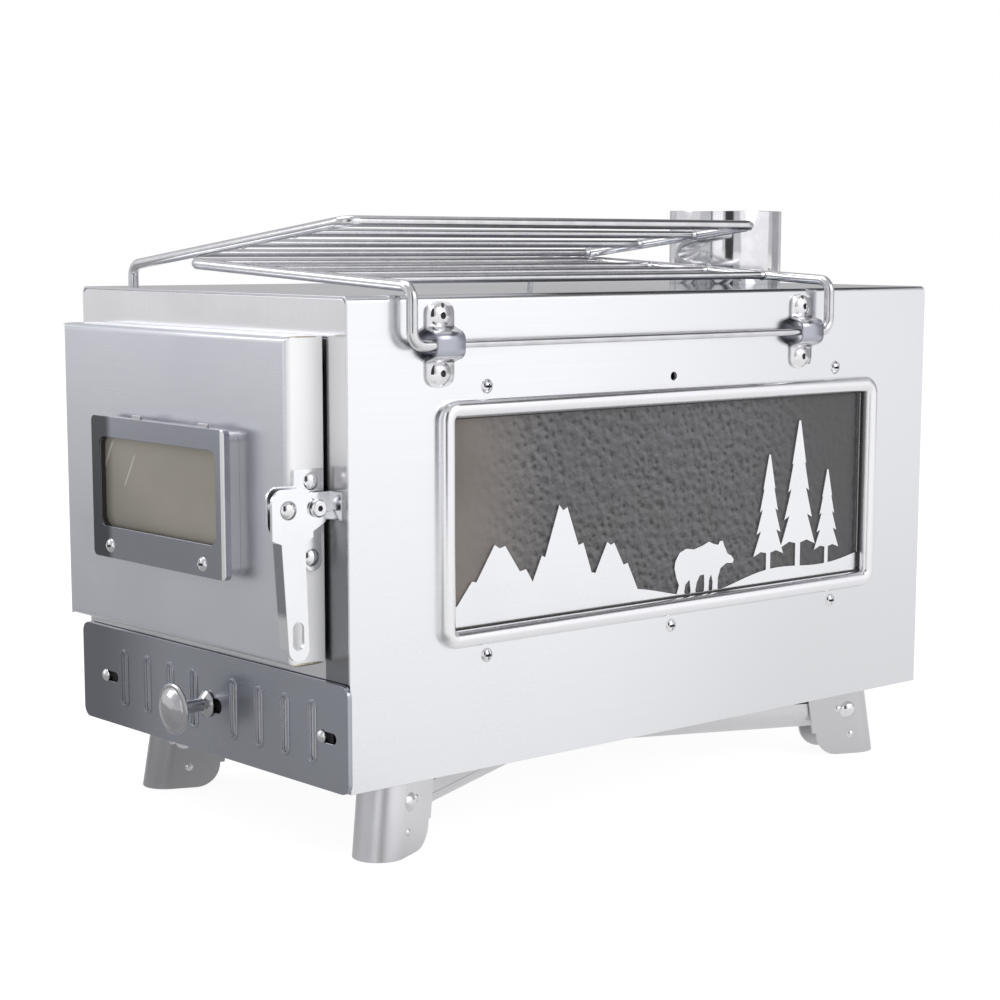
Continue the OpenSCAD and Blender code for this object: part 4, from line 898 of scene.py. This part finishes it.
class STOVE_OT_stage(bpy.types.Operator):
    """Pale floor, white background, soft lamps and the camera"""

    bl_idname = "stove.stage"
    bl_label = "Stage"

    def execute(self, context):
        scene = context.scene
        scene.view_settings.view_transform = "Standard"
        self.world(scene)
        self.floor(scene)
        self.cards(scene)
        self.lamps(scene)
        self.camera(scene)
        return {"FINISHED"}

    def world(self, scene):
        """White to camera and transmission rays, greyer to reflections and a pale grey to the rest."""
        world = bpy.data.worlds.new("studio")
        scene.world = world
        world.use_nodes = True
        tree = world.node_tree
        tree.nodes.clear()
        rays = tree.nodes.new("ShaderNodeLightPath").outputs
        seen = maths(tree, "MAXIMUM", rays["Is Camera Ray"], rays["Is Transmission Ray"])
        colour = mixed(tree, rays["Is Glossy Ray"], (0.72, 0.73, 0.75), (0.62, 0.625, 0.645))
        colour = mixed(tree, seen, colour, (1.0, 1.0, 1.0))
        back = tree.nodes.new("ShaderNodeBackground")
        tree.links.new(colour, back.inputs["Color"])
        self.end(tree, "ShaderNodeOutputWorld", back)

    def end(self, tree, kind, node):
        """Links a shader node to a new output node of that kind."""
        tree.links.new(node.outputs[0], tree.nodes.new(kind).inputs["Surface"])

    def sheet(self, scene, name, look, wide, high):
        """A flat sheet, of half width and half height, with an empty material: its object and node tree."""
        mesh = bpy.data.meshes.new(name)
        mesh.from_pydata([(-wide, -high, 0), (wide, -high, 0), (wide, high, 0), (-wide, high, 0)],
                         [], [(0, 1, 2, 3)])
        material = bpy.data.materials.new(look)
        material.use_nodes = True
        material.node_tree.nodes.clear()
        mesh.materials.append(material)
        obj = bpy.data.objects.new(name, mesh)
        scene.collection.objects.link(obj)
        return obj, material.node_tree

    def floor(self, scene):
        """Pale floor: mostly white by itself, and partly lit, so that it keeps the object's shadow. Its own light
        is even to the camera. In reflections it is dim before the stove on the left, and brighter far off, on the
        right and behind."""
        floor, tree = self.sheet(scene, "floor", "pale floor", 6.0, 6.0)
        x, y, _ = axes(tree, tree.nodes.new("ShaderNodeTexCoord").outputs["Object"])
        rays = tree.nodes.new("ShaderNodeLightPath").outputs
        front = ranged(tree, y, -1.5, -0.75, 0.95, 0.28)
        front = maths(tree, "MULTIPLY", front, ranged(tree, x, -1.1, 0.1, 0.75, 1.05))
        front = maths(tree, "MAXIMUM", front, ranged(tree, y, -0.28, -0.05))
        front = maths(tree, "MAXIMUM", front, ranged(tree, x, 0.05, 0.4))
        shade = maths(tree, "MULTIPLY", front, ranged(tree, x, 0.1, 1.3, 0.86, 1.04))
        level = tree.nodes.new("ShaderNodeMix")
        tree.links.new(rays["Is Glossy Ray"], level.inputs["Factor"])
        level.inputs[2].default_value = 1.16
        tree.links.new(shade, level.inputs[3])
        glow = tree.nodes.new("ShaderNodeEmission")
        tree.links.new(level.outputs[0], glow.inputs["Strength"])
        lit = tree.nodes.new("ShaderNodeBsdfDiffuse")
        lit.inputs["Color"].default_value = (0.9, 0.9, 0.9, 1)
        both = tree.nodes.new("ShaderNodeMixShader")
        both.inputs[0].default_value = 0.22
        tree.links.new(glow.outputs[0], both.inputs[1])
        tree.links.new(lit.outputs[0], both.inputs[2])
        self.end(tree, "ShaderNodeOutputMaterial", both)

    def cards(self, scene):
        """Studio cards that only reflections see: dark ones that give wires and collar their lines, and two white
        ones. Each row is a name, a centre, half width and half height, and a level of light."""
        rows = (
            ("card_front_left", (-1.9, -1.75, 0.95), (1.8, 0.9), 0.8),
            ("card_rear_left", (-2.3, 2.2, 0.75), (1.6, 1.5), 0.5),
            ("card_behind", (0.2, 1.15, 1.3), (1.0, 0.22), 0.1),
            ("card_rear", (0.35, 2.6, 0.6), (0.7, 0.8), 0.42),
            ("card_white_right", (2.04, 0.86, 0.85), (1.55, 0.95), 1.06),
            ("card_white_front", (0.95, -1.62, 0.6), (0.36, 0.9), 1.06),
            ("card_photographer", (1.25, -0.82, 0.4), (0.24, 0.8), 0.05),
            ("card_line", (0.4, -1.3, 0.4), (0.03, 0.8), 0.04),
        )
        aim = Vector((0, 0.05, 0.12))
        for name, centre, (wide, high), level in rows:
            card, tree = self.sheet(scene, name, name, wide, high)
            turn = (aim - Vector(centre)).to_track_quat("Z", "Y").to_matrix().to_4x4()
            card.data.transform(Matrix.Translation(centre) @ turn)
            glow = tree.nodes.new("ShaderNodeEmission")
            glow.inputs["Color"].default_value = (level, level, level * 1.02, 1)
            self.end(tree, "ShaderNodeOutputMaterial", glow)
            card.visible_camera = card.visible_diffuse = card.visible_shadow = card.visible_transmission = False

    def lamps(self, scene):
        """Three large soft lamps: above, from the front left and from the right."""
        rows = (
            ("lamp_above", (-0.5, -0.3, 1.9), 1.4, 13.0),
            ("lamp_left", (-1.6, -1.5, 1.3), 1.0, 8.0),
            ("lamp_right", (1.9, 0.6, 1.2), 1.2, 9.0),
        )
        aim = Vector((0, 0, 0.12))
        for name, centre, size, watts in rows:
            light = bpy.data.lights.new(name, "AREA")
            light.shape = "SQUARE"
            light.size = size
            light.energy = watts
            lamp = bpy.data.objects.new(name, light)
            scene.collection.objects.link(lamp)
            lamp.location = centre
            lamp.rotation_euler = (aim - Vector(centre)).to_track_quat("-Z", "Y").to_euler()

    def camera(self, scene):
        """The photograph's view: azimuth, elevation and roll in degrees, and how far the eye stands to the right
        of, below and away from a point of the stove. The focal length is in pixels of a picture that is 1000
        pixels wide."""
        azimuth, elevation, roll = np.radians([47.72, 8.337, 0.301])
        aside, below, away = 10.90, 29.54, 1128.8
        focal, pixels, sensor = 2203.3, 1000.0, 36.0
        level = np.cos(elevation)
        back = np.array([np.sin(azimuth) * level, -np.cos(azimuth) * level, np.sin(elevation)])
        right = np.array([np.cos(azimuth), np.sin(azimuth), 0.0])
        up = np.cross(back, right)
        eye = np.array([0, 200.0, 100.0]) + right * aside - up * below + back * away
        side = right * np.cos(roll) + up * np.sin(roll)
        top = up * np.cos(roll) - right * np.sin(roll)
        data = bpy.data.cameras.new("camera")
        data.sensor_fit = "HORIZONTAL"
        data.sensor_width = sensor
        data.lens = focal * sensor / pixels
        data.shift_x, data.shift_y = -0.06, 0.06
        data.clip_start, data.clip_end = 0.01, 50.0
        camera = bpy.data.objects.new("camera", data)
        scene.collection.objects.link(camera)
        matrix = np.eye(4)
        matrix[:3, :3] = np.column_stack([side, top, back])
        matrix[:3, 3] = to_row(eye)
        camera.matrix_world = Matrix(matrix.tolist())
        scene.camera = camera


class STOVE_OT_firebox(bpy.types.Operator):
    """Shell, end plates, floor and grate with deburred edges"""

    bl_idname = "stove.firebox"
    bl_label = "Firebox"

    def execute(self, context):
        deburr_all((
            ("body_shell", "shell_sheet", "stove_body", "shell_steel", "shell", 0),
            ("front_plate", "front_sheet", "stove_body", "front_steel", "front", 0),
            ("back_plate", "back_sheet", "stove_body", "front_steel", "front", 0),
            ("floor_pan", "floor_sheet", "stove_body", "plain_steel", "plain", 0),
            ("fire_grate", "grate_sheet", "stove_body", "grate_steel", "grate", 1),
        ))
        return {"FINISHED"}


class STOVE_OT_collar(bpy.types.Operator):
    """Flue collar with its rounded lip and spot welds"""

    bl_idname = "stove.collar"
    bl_label = "Flue collar"

    def execute(self, context):
        profile = rounded([
            [FLUE_BORE, 225.0], [FLUE_BORE, FLUE_TOP], [FLUE_R, FLUE_TOP], [FLUE_R, BODY_H],
            [FLUE_BORE, BODY_H], [FLUE_BORE, 224.0]], [0.3, 0.3, 0.05, 0.05], 4)
        parts = [lathe(profile, (0, FLUE_Y, 0), X, Y, Z, 160)]
        piece("flue_collar_tube", parts, "stove_body", ["flue_collar"], finish("collar"))
        low, high = 3.0, 7.4
        turns = ((-64.0, low), (-30.0, low), (4.0, high), (9.0, high), (52.0, low), (110.0, low), (170.0, low),
                 (220.0, low))
        spots = []
        for k, (turn, up) in enumerate(turns):
            a = math.radians(turn)
            out = np.array([np.cos(a), np.sin(a), 0.0])
            at = np.array([0, FLUE_Y, BODY_H + up]) + out * (FLUE_R - 0.1)
            spots.append(head(at, out, 1.1 + 0.2 * (k % 3), 0.35, "hole", 0.5, 0.25, 0.1, 24))
        piece("collar_spot_welds", spots, "stove_body", [], finish("weld"))
        return {"FINISHED"}


class STOVE_OT_side_windows(bpy.types.Operator):
    """Rims, pictures, glasses, clamping frames and screws of both side windows"""

    bl_idname = "stove.side_windows"
    bl_label = "Side windows"

    def rim(self, side):
        """A half-round bead carried round the opening: inner corner + outward normal * u + x * h."""
        y0, y1, z0, z1 = RIM_IN
        corner, half, lift = 1.0, 4.0, 1.0
        path = filleted([[0, y0, z0], [0, y1, z0], [0, y1, z1], [0, y0, z1]], corner, 9)
        tangent = unit(np.roll(path, -1, 0) - np.roll(path, 1, 0))
        normal = np.cross(tangent, X)
        a = np.linspace(np.pi, 0, 17)
        arc = np.column_stack([half + half * np.cos(a), lift + half * np.sin(a)])
        u, h = np.vstack([[[0.0, 0.0], [0.0, 0.5]], arc, [[2 * half, 0.5], [2 * half, 0.0]]]).T
        grid = path[:, None] + u[None, :, None] * normal[:, None] + h[None, :, None] * X
        grid[..., 0] += SIDE_X
        grid[..., 0] *= side
        return rings(grid, loop=True)

    def shadow_ring(self, side):
        """A thin dark ring inside the rim, painted shadow round the glass's edge: frame_ring turned onto the side
        panel, (x, y) to (side y, x).
        """
        y0, y1, z0, z1 = RIM_IN
        wall, corner, inside, outside = 0.55, 0.8, -0.9, 0.15
        points, quads, tris = frame_ring((0, (z0 + z1) / 2), y1 - y0 - 2 * wall, z1 - z0 - 2 * wall, corner,
                                         wall - 0.02, inside, outside)
        turned = np.column_stack([side * (SIDE_X + points[:, 1]), (y0 + y1) / 2 + points[:, 0], points[:, 2]])
        return outward(turned, quads, tris)

    def execute(self, context):
        for side, word in ((1, "right"), (-1, "left")):
            # a near-black ring: painted shadow round the glass's edge
            piece(word + "_window_shadow_ring", [self.shadow_ring(side)], "stove_body", [], finish("shadow_ring"))
            piece(word + "_rim_bead", [self.rim(side)], "stove_body", [word + "_window_rim"],
                  finish("rim"), 50.0)
            deburr_all((
                (word + "_picture_plate", word + "_picture", "stove_body", "picture_steel", "picture", 1),
                (word + "_side_glass", word + "_hammered_glass", "stove_body", "side_glass", "side glass", 1),
                (word + "_glass_frame", word + "_clamp_frame", "stove_body", "plain_steel", "plain", 1),
            ))
        first, pitch = WINDOW_SCREW_Y
        empty_hole = (1, 1, WINDOW_SCREW_Z[1])
        parts, recess_shades = [], []
        for side in (1, -1):
            for k in range(3):
                for z in WINDOW_SCREW_Z:
                    if (side, k, z) == empty_hole:
                        continue
                    y = first + pitch * k
                    screw, floor = cross_screw((side * SIDE_X, y, z), X * side, 5.7)
                    parts += [*screw, pin((side * NUT_X, y, z), X * -side, 3.4, 2.4, 6)]
                    recess_shades += floor
        piece("window_screw_set", parts, "stove_body", ["window_screws"], finish("fastener"))
        # painted shade: dark bars in the screws' cross recesses
        piece("window_screw_recess_shade", recess_shades, "stove_body", [], finish("recess"))
        return {"FINISHED"}


class STOVE_OT_door(bpy.types.Operator):
    """Door pan and liner, and both halves of the hinges"""

    bl_idname = "stove.door"
    bl_label = "Door"

    def execute(self, context):
        deburr_all((
            ("door_liner", "door_inner_sheet", "door", "plain_steel", "plain", 0),
            ("door_hinge_ears", "door_ears", "door", "plain_steel", "plain", 1),
            ("hinge_lugs", "frame_lugs", "stove_body", "plain_steel", "plain", 1),
        ))
        deburred("door_pan", "door_sheet", "door", finish("door"), 0.0005, 3)
        parts = []
        for z in HINGE_PIN_Z:
            parts.append(pin((*HINGE_PIN, z - 4.4), Z, 2.0, 8.2))
            parts.append(head((*HINGE_PIN, z + 3.8), Z, 3.0, 1.0, sink=0.0, turns=32))
        low, high = DOOR_WELD_Z
        rows = ((DOOR_EDGE, -19.2, low, 0.75, 11), (DOOR_EDGE, -19.4, high, 0.5, 13),
                (-DOOR_EDGE, -19.4, high, 0.5, 13), (-DOOR_EDGE, -19.2, low, 0.6, 11))
        welds = [bead((x, y, z), (x, -2.5, z), radius, ripples, (x, -10, 500))
                 for x, y, z, radius, ripples in rows]
        piece("door_corner_welds", welds, "door", [], finish("weld"))
        piece("hinge_pin_set", parts, "stove_body", ["hinge_pins"], finish("fastener"))
        return {"FINISHED"}


class STOVE_OT_door_window(bpy.types.Operator):
    """Box, cover, glass and screws of the door window"""

    bl_idname = "stove.door_window"
    bl_label = "Door window"

    def execute(self, context):
        deburr_all((
            ("window_box", "window_box_sheet", "door", "cover_steel", "box", 1),
            ("window_cover", "window_cover_sheet", "door", "cover_steel", "cover", 0),
        ))
        middle = (COVER_X, PANE_Z)
        piece("door_pane", [pane(middle, 100.6, 50.0, 2.0, COVER_FACE + 3.4, COVER_FACE + 4.2)], "door",
              ["door_glass"], finish("door glass"))
        # a near-black ring between cover and glass: painted shadow on the opening's inner wall
        piece("glass_shadow_ring", [frame_ring(middle, 95.1, 41.2, 4.8, 1.6, COVER_FACE + 1.25, COVER_FACE + 3.38)],
              "door", [], finish("shadow_ring"))
        parts, recess_shades = [], []
        for x in COVER_SCREW_X:
            screw, floor = cross_screw((COVER_X + x, COVER_FACE, COVER_SCREW_Z), -Y, 6.8)
            parts += screw
            recess_shades += floor
        piece("cover_screw_set", parts, "door", ["cover_screws"], finish("fastener"))
        # painted shade: dark bars in the screws' cross recesses
        piece("cover_screw_recess_shade", recess_shades, "door", [], finish("recess"))
        return {"FINISHED"}


class STOVE_OT_latch(bpy.types.Operator):
    """Latch plate, lever, pivot, rivets and striker"""

    bl_idname = "stove.latch"
    bl_label = "Latch"

    def execute(self, context):
        deburr_all((
            ("latch_plate", "latch_plate_sheet", "door", "latch_steel", "latch", 1),
            ("striker_tab", "striker_ear", "stove_body", "latch_steel", "latch", 1),
        ))
        deburred("latch_lever", "lever_sheet", "latch_lever", finish("lever"), 0.0, flat=1.5)
        rivets = [head((92.0, y, z), X, 3.8, 1.5, turns=48) for y, z in LATCH_RIVETS]
        rivets += [pin((90.5, y, z), X, 2.2, 1.7) for y, z in LATCH_RIVETS]
        piece("latch_rivet_set", rivets, "door", ["latch_rivets"], finish("fastener"))
        at = np.array([0.0, LATCH_Y, LATCH_Z])
        pivot = [head(at + X * 96.5, X, 4.0, 1.8, sink=0.0), pin(at + X * 89.5, X, 2.5, 7.2),
                 pin(at + X * 92.0, X, 4.0, 2.6, 48)]
        piece("lever_pivot", pivot, "door", ["latch_pivot"], finish("fastener"))
        at = np.array([0.0, STRIKER_Y, LATCH_Z])
        striker = [pin(at + X * 92.9, X, 1.15, 1.7), pin(at + X * 94.4, X, 1.6, 2.6),
                   cap(at + X * 96.7, X, 3.8, 2.2, "hex", 1.05, 1.4)]
        # painted shade: a dark disc at the floor of the striker pin's socket
        piece("striker_socket_shade", [pin(at + X * 97.7, X, 1.15, 0.2, 6, 0.02)], "stove_body", [],
              finish("recess"))
        piece("striker_stud", striker, "stove_body", ["striker_pin"], finish("fastener"))
        return {"FINISHED"}


class STOVE_OT_air_drawer(bpy.types.Operator):
    """Air plate, ash tray, shutter, knob and guide screws"""

    bl_idname = "stove.air_drawer"
    bl_label = "Air plate and ash drawer"

    def execute(self, context):
        deburr_all((
            ("air_plate", "air_sheet", "ash_drawer", "air_steel", "air", 0),
            ("ash_tray", "tray_sheet", "ash_drawer", "plain_steel", "plain", 0),
            ("air_shutter", "shutter_sheet", "air_shutter", "air_steel", "shutter", 1),
        ))
        reach = 23.0
        outline = rounded([
            [0, reach], [3.5, reach - 0.45], [6.8, reach - 1.7], [9.2, reach - 3.3], [9.6, reach - 3.9],
            [11.0, reach - 4.0], [11.8, reach - 4.6], [11.8, reach - 5.4], [10.6, reach - 6.3],
            [5.0, reach - 7.4], [3.0, reach - 9.4], [3.0, 3.2], [4.3, 2.6], [6.2, 1.1], [6.2, 0.3], [0, 0.3]],
            [8.0, 6.0, 1.0, 0.3, 0.6, 0.5, 0.4, 0.5, 0.9, 0.9, 0.2, 0.3, 0.3, 0.25], 6)
        at = np.array([KNOB_X, AIR_FACE, GUIDE_Z])
        knob = [lathe(outline, at, X, Z, -Y, 72), pin(at - Y * 1.0, Y, 3.0, 2.4),
                pin(at + Y * 1.2, Y, 2.15, 2.7), pin(at + Y * 2.3, Y, 3.6, 1.2, 6)]
        piece("knob_turned", knob, "air_shutter", ["shutter_knob"], finish("knob"), 32.0)
        screws = []
        for x in GUIDE_SCREW_X:
            base = np.array([x, AIR_FACE - 0.3, GUIDE_Z])
            screws += [head(base, -Y, 3.0, 1.6, sink=0.0), pin(base - Y * 0.1, Y, 2.0, 1.9),
                       pin(base + Y * 1.6, Y, 1.65, 1.0)]
        piece("guide_screw_set", screws, "air_shutter", ["shutter_screws"], finish("fastener"))
        return {"FINISHED"}


class STOVE_OT_racks(bpy.types.Operator):
    """Both wire racks, their hinge clips and rivets"""

    bl_idname = "stove.racks"
    bl_label = "Wire racks"

    def rack(self, side, y0, length, leg, arm, rise):
        """The frame wire is one closed path with bends of RACK_BEND, drawn thin between the clips. Each bar is a
        straight tube whose radius swells by weld_swell exp(-((d - 2.4) / 1.3)^2) at its welds, d being the
        distance in y to the nearer arm, and its ends are drawn in."""
        sizes = bpy.context.scene.stove_sizes
        c, s = math.cos(rise), math.sin(rise)
        near = np.array([[0, 0, 0], [0, 0, leg], [-arm * c, 0, leg + arm * s]])
        corners = np.vstack([near, (near + (0, length, 0))[::-1]])
        middle = np.array([-arm * c / 2, length / 2, leg / 2 + 4.0])
        path = dense(filleted(corners, RACK_BEND, 9), 2.0)
        first, last = (y - y0 for y in CLIP_Y)
        thin = smooth(first - 7.0, first - 3.0, path[:, 1]) * (1 - smooth(last + 3.0, last + 7.0, path[:, 1]))
        thin = np.where(np.hypot(path[:, 0], path[:, 2]) < 0.01, thin, 0.0)
        wire = sizes.frame_wire / MM
        parts = [tube(path, wire + (sizes.hinge_rod / MM - wire) * thin, middle, 24)]
        past, inside, count = 1.2, 6.0, 15
        y = np.concatenate([np.linspace(-past, inside, count), np.linspace(length - inside, length + past, count)])
        gap = np.minimum(np.abs(y), np.abs(length - y))
        swell = 1 + sizes.weld_swell * np.exp(-((gap - 2.4) / 1.3) ** 2)
        ends = np.where((y < -1.1) | (y > length + 1.1), 0.55, 1.0)
        above = middle + (0, 0, 400.0)
        for k in (1, 2, 3):
            reach = arm - RACK_PITCH * k
            bar = np.column_stack([0 * y - reach * c, y, 0 * y + (leg + reach * s)])
            parts.append(tube(bar, sizes.rack_bar / MM * swell * ends, above, 20, loop=False))
        shifted = []
        for points, quads, tris in parts:
            points = points + (HINGE_X, y0, HINGE_Z)
            points[:, 0] *= side
            shifted.append(outward(points, quads, tris))
        return shifted

    def execute(self, context):
        right = math.radians(RIGHT_RISE)
        dx = 2 * HINGE_X - RIGHT_ARM * math.cos(right)
        dz = RIGHT_LEG - LEFT_LEG + RIGHT_ARM * math.sin(right)
        left = math.atan2(dz, dx) + math.asin(RACK_GAP / math.hypot(dx, dz))
        for name, shape in (("right_rack", (1, 29.3, 263.7, RIGHT_LEG, RIGHT_ARM, right)),
                            ("left_rack", (-1, 32.0, 259.0, LEFT_LEG, LEFT_ARM, left))):
            piece(name + "_wire", self.rack(*shape), name, [name], finish("wire"), 60.0)
        bend = [[0.6, -18.4], [0.6, -7.2], [8.3, -4.7], [8.3, 4.7], [0.6, 7.2], [0.6, 18.4]]
        bend = np.column_stack([bend, np.zeros(len(bend))])
        line = dense(filleted(bend, [1.8, 3.6, 3.6, 1.8], 7, loop=False), 0.6, loop=False)[:, :2]
        half, end, power = 7.7, 6.1, 2.6
        past = np.clip(np.abs(line[:, 1]) - CLIP_RIVET_DZ, 0.0, end - 0.01)
        halves = half * (1 - (past / end) ** power) ** (1 / power)
        clips = [strap(line, halves, 1.2, (side * SIDE_X, y, HINGE_Z), side) for side in (1, -1) for y in CLIP_Y]
        piece("clip_straps", clips, "stove_body", ["rack_clips"], finish("clip"), 50.0)
        spots = [(side, y, HINGE_Z + dz) for side in (1, -1) for y in CLIP_Y
                 for dz in (-CLIP_RIVET_DZ, CLIP_RIVET_DZ)]
        rivets = [head((side * (SIDE_X + 1.2), y, z), X * side, 5.4, 2.0, "hole", 1.3, 1.2, turns=72)
                  for side, y, z in spots]
        piece("clip_rivet_set", rivets, "stove_body", ["clip_rivets"], finish("fastener"))
        # painted shade: dark discs in the rivets' bores
        bore_shades = [pin((side * (SIDE_X + 2.1), y, z), X * side, 1.25, 0.5, 28) for side, y, z in spots]
        piece("clip_rivet_bore_shade", bore_shades, "stove_body", [], finish("recess"))
        return {"FINISHED"}


class STOVE_OT_legs(bpy.types.Operator):
    """Leg brackets, pivots and the four folding legs"""

    bl_idname = "stove.legs"
    bl_label = "Legs and brackets"

    def execute(self, context):
        deburr_all((
            ("leg_brackets", "bracket_sheets", "stove_body", "leg_steel", "bracket", 0),
            ("front_right_leg", "front_right_channel", "front_right_leg", "leg_steel", "leg", 1),
            ("front_left_leg", "front_left_channel", "front_left_leg", "leg_steel", "leg", 1),
            ("rear_right_leg", "rear_right_channel", "rear_right_leg", "leg_steel", "leg", 1),
            ("rear_left_leg", "rear_left_channel", "rear_left_leg", "leg_steel", "leg", 1),
        ))
        pivots, dimples = [], []
        for side, y, turn in LEGS:
            a = math.radians(turn)
            across = np.array([-math.sin(a), math.cos(a), 0.0])
            along = np.array([math.cos(a), math.sin(a), 0.0]) * side
            at = np.array([side * LEG_X, y, LEG_Z])
            pivots.append(pin(at - across * 12.2, across, 2.5, 24.4))
            for s in (1, -1):
                pivots.append(head(at + across * BRACKET_HALF * s, across * s, 4.4, 2.0, sink=0.0, turns=40))
                for out, rise in ((5.6, 0.4), (-2.0, -13.5)):
                    spot = at + across * (BRACKET_HALF - 0.05) * s + along * out + Z * rise
                    dimples.append(head(spot, across * s, 2.0, 0.8, sink=0.1, turns=28))
        piece("leg_rivet_set", pivots, "stove_body", ["leg_pivots"], finish("fastener"))
        piece("bracket_dimples", dimples, "stove_body", [], finish("clip"))
        return {"FINISHED"}


STEPS = (STOVE_OT_stage, STOVE_OT_firebox, STOVE_OT_collar, STOVE_OT_side_windows, STOVE_OT_door,
         STOVE_OT_door_window, STOVE_OT_latch, STOVE_OT_air_drawer, STOVE_OT_racks, STOVE_OT_legs)


class STOVE_PT_panel(bpy.types.Panel):
    """The stove's finishing steps in the sidebar"""

    bl_idname = "STOVE_PT_panel"
    bl_label = "Tent wood stove"
    bl_space_type = "VIEW_3D"
    bl_region_type = "UI"
    bl_category = "Stove"

    def draw(self, context):
        for step in STEPS:
            self.layout.operator(step.bl_idname)
        for group in (context.scene.stove_sizes, context.scene.stove_colours):
            box = self.layout.box()
            for name in group.__annotations__:
                box.prop(group, name)


CLASSES = (StoveSizes, StoveColours, *STEPS, STOVE_PT_panel)


def register():
    """Registers the classes and hangs the sizes and colours on the scene."""
    for cls in CLASSES:
        bpy.utils.register_class(cls)
    bpy.types.Scene.stove_sizes = PointerProperty(type=StoveSizes)
    bpy.types.Scene.stove_colours = PointerProperty(type=StoveColours)


def unregister():
    """Takes back what register did."""
    del bpy.types.Scene.stove_sizes, bpy.types.Scene.stove_colours
    for cls in reversed(CLASSES):
        bpy.utils.unregister_class(cls)


def main():
    """Registers the add-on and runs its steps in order."""
    register()
    for step in STEPS:
        group, name = step.bl_idname.split(".")
        getattr(getattr(bpy.ops, group), name)()


if __name__ == "__main__":
    main()
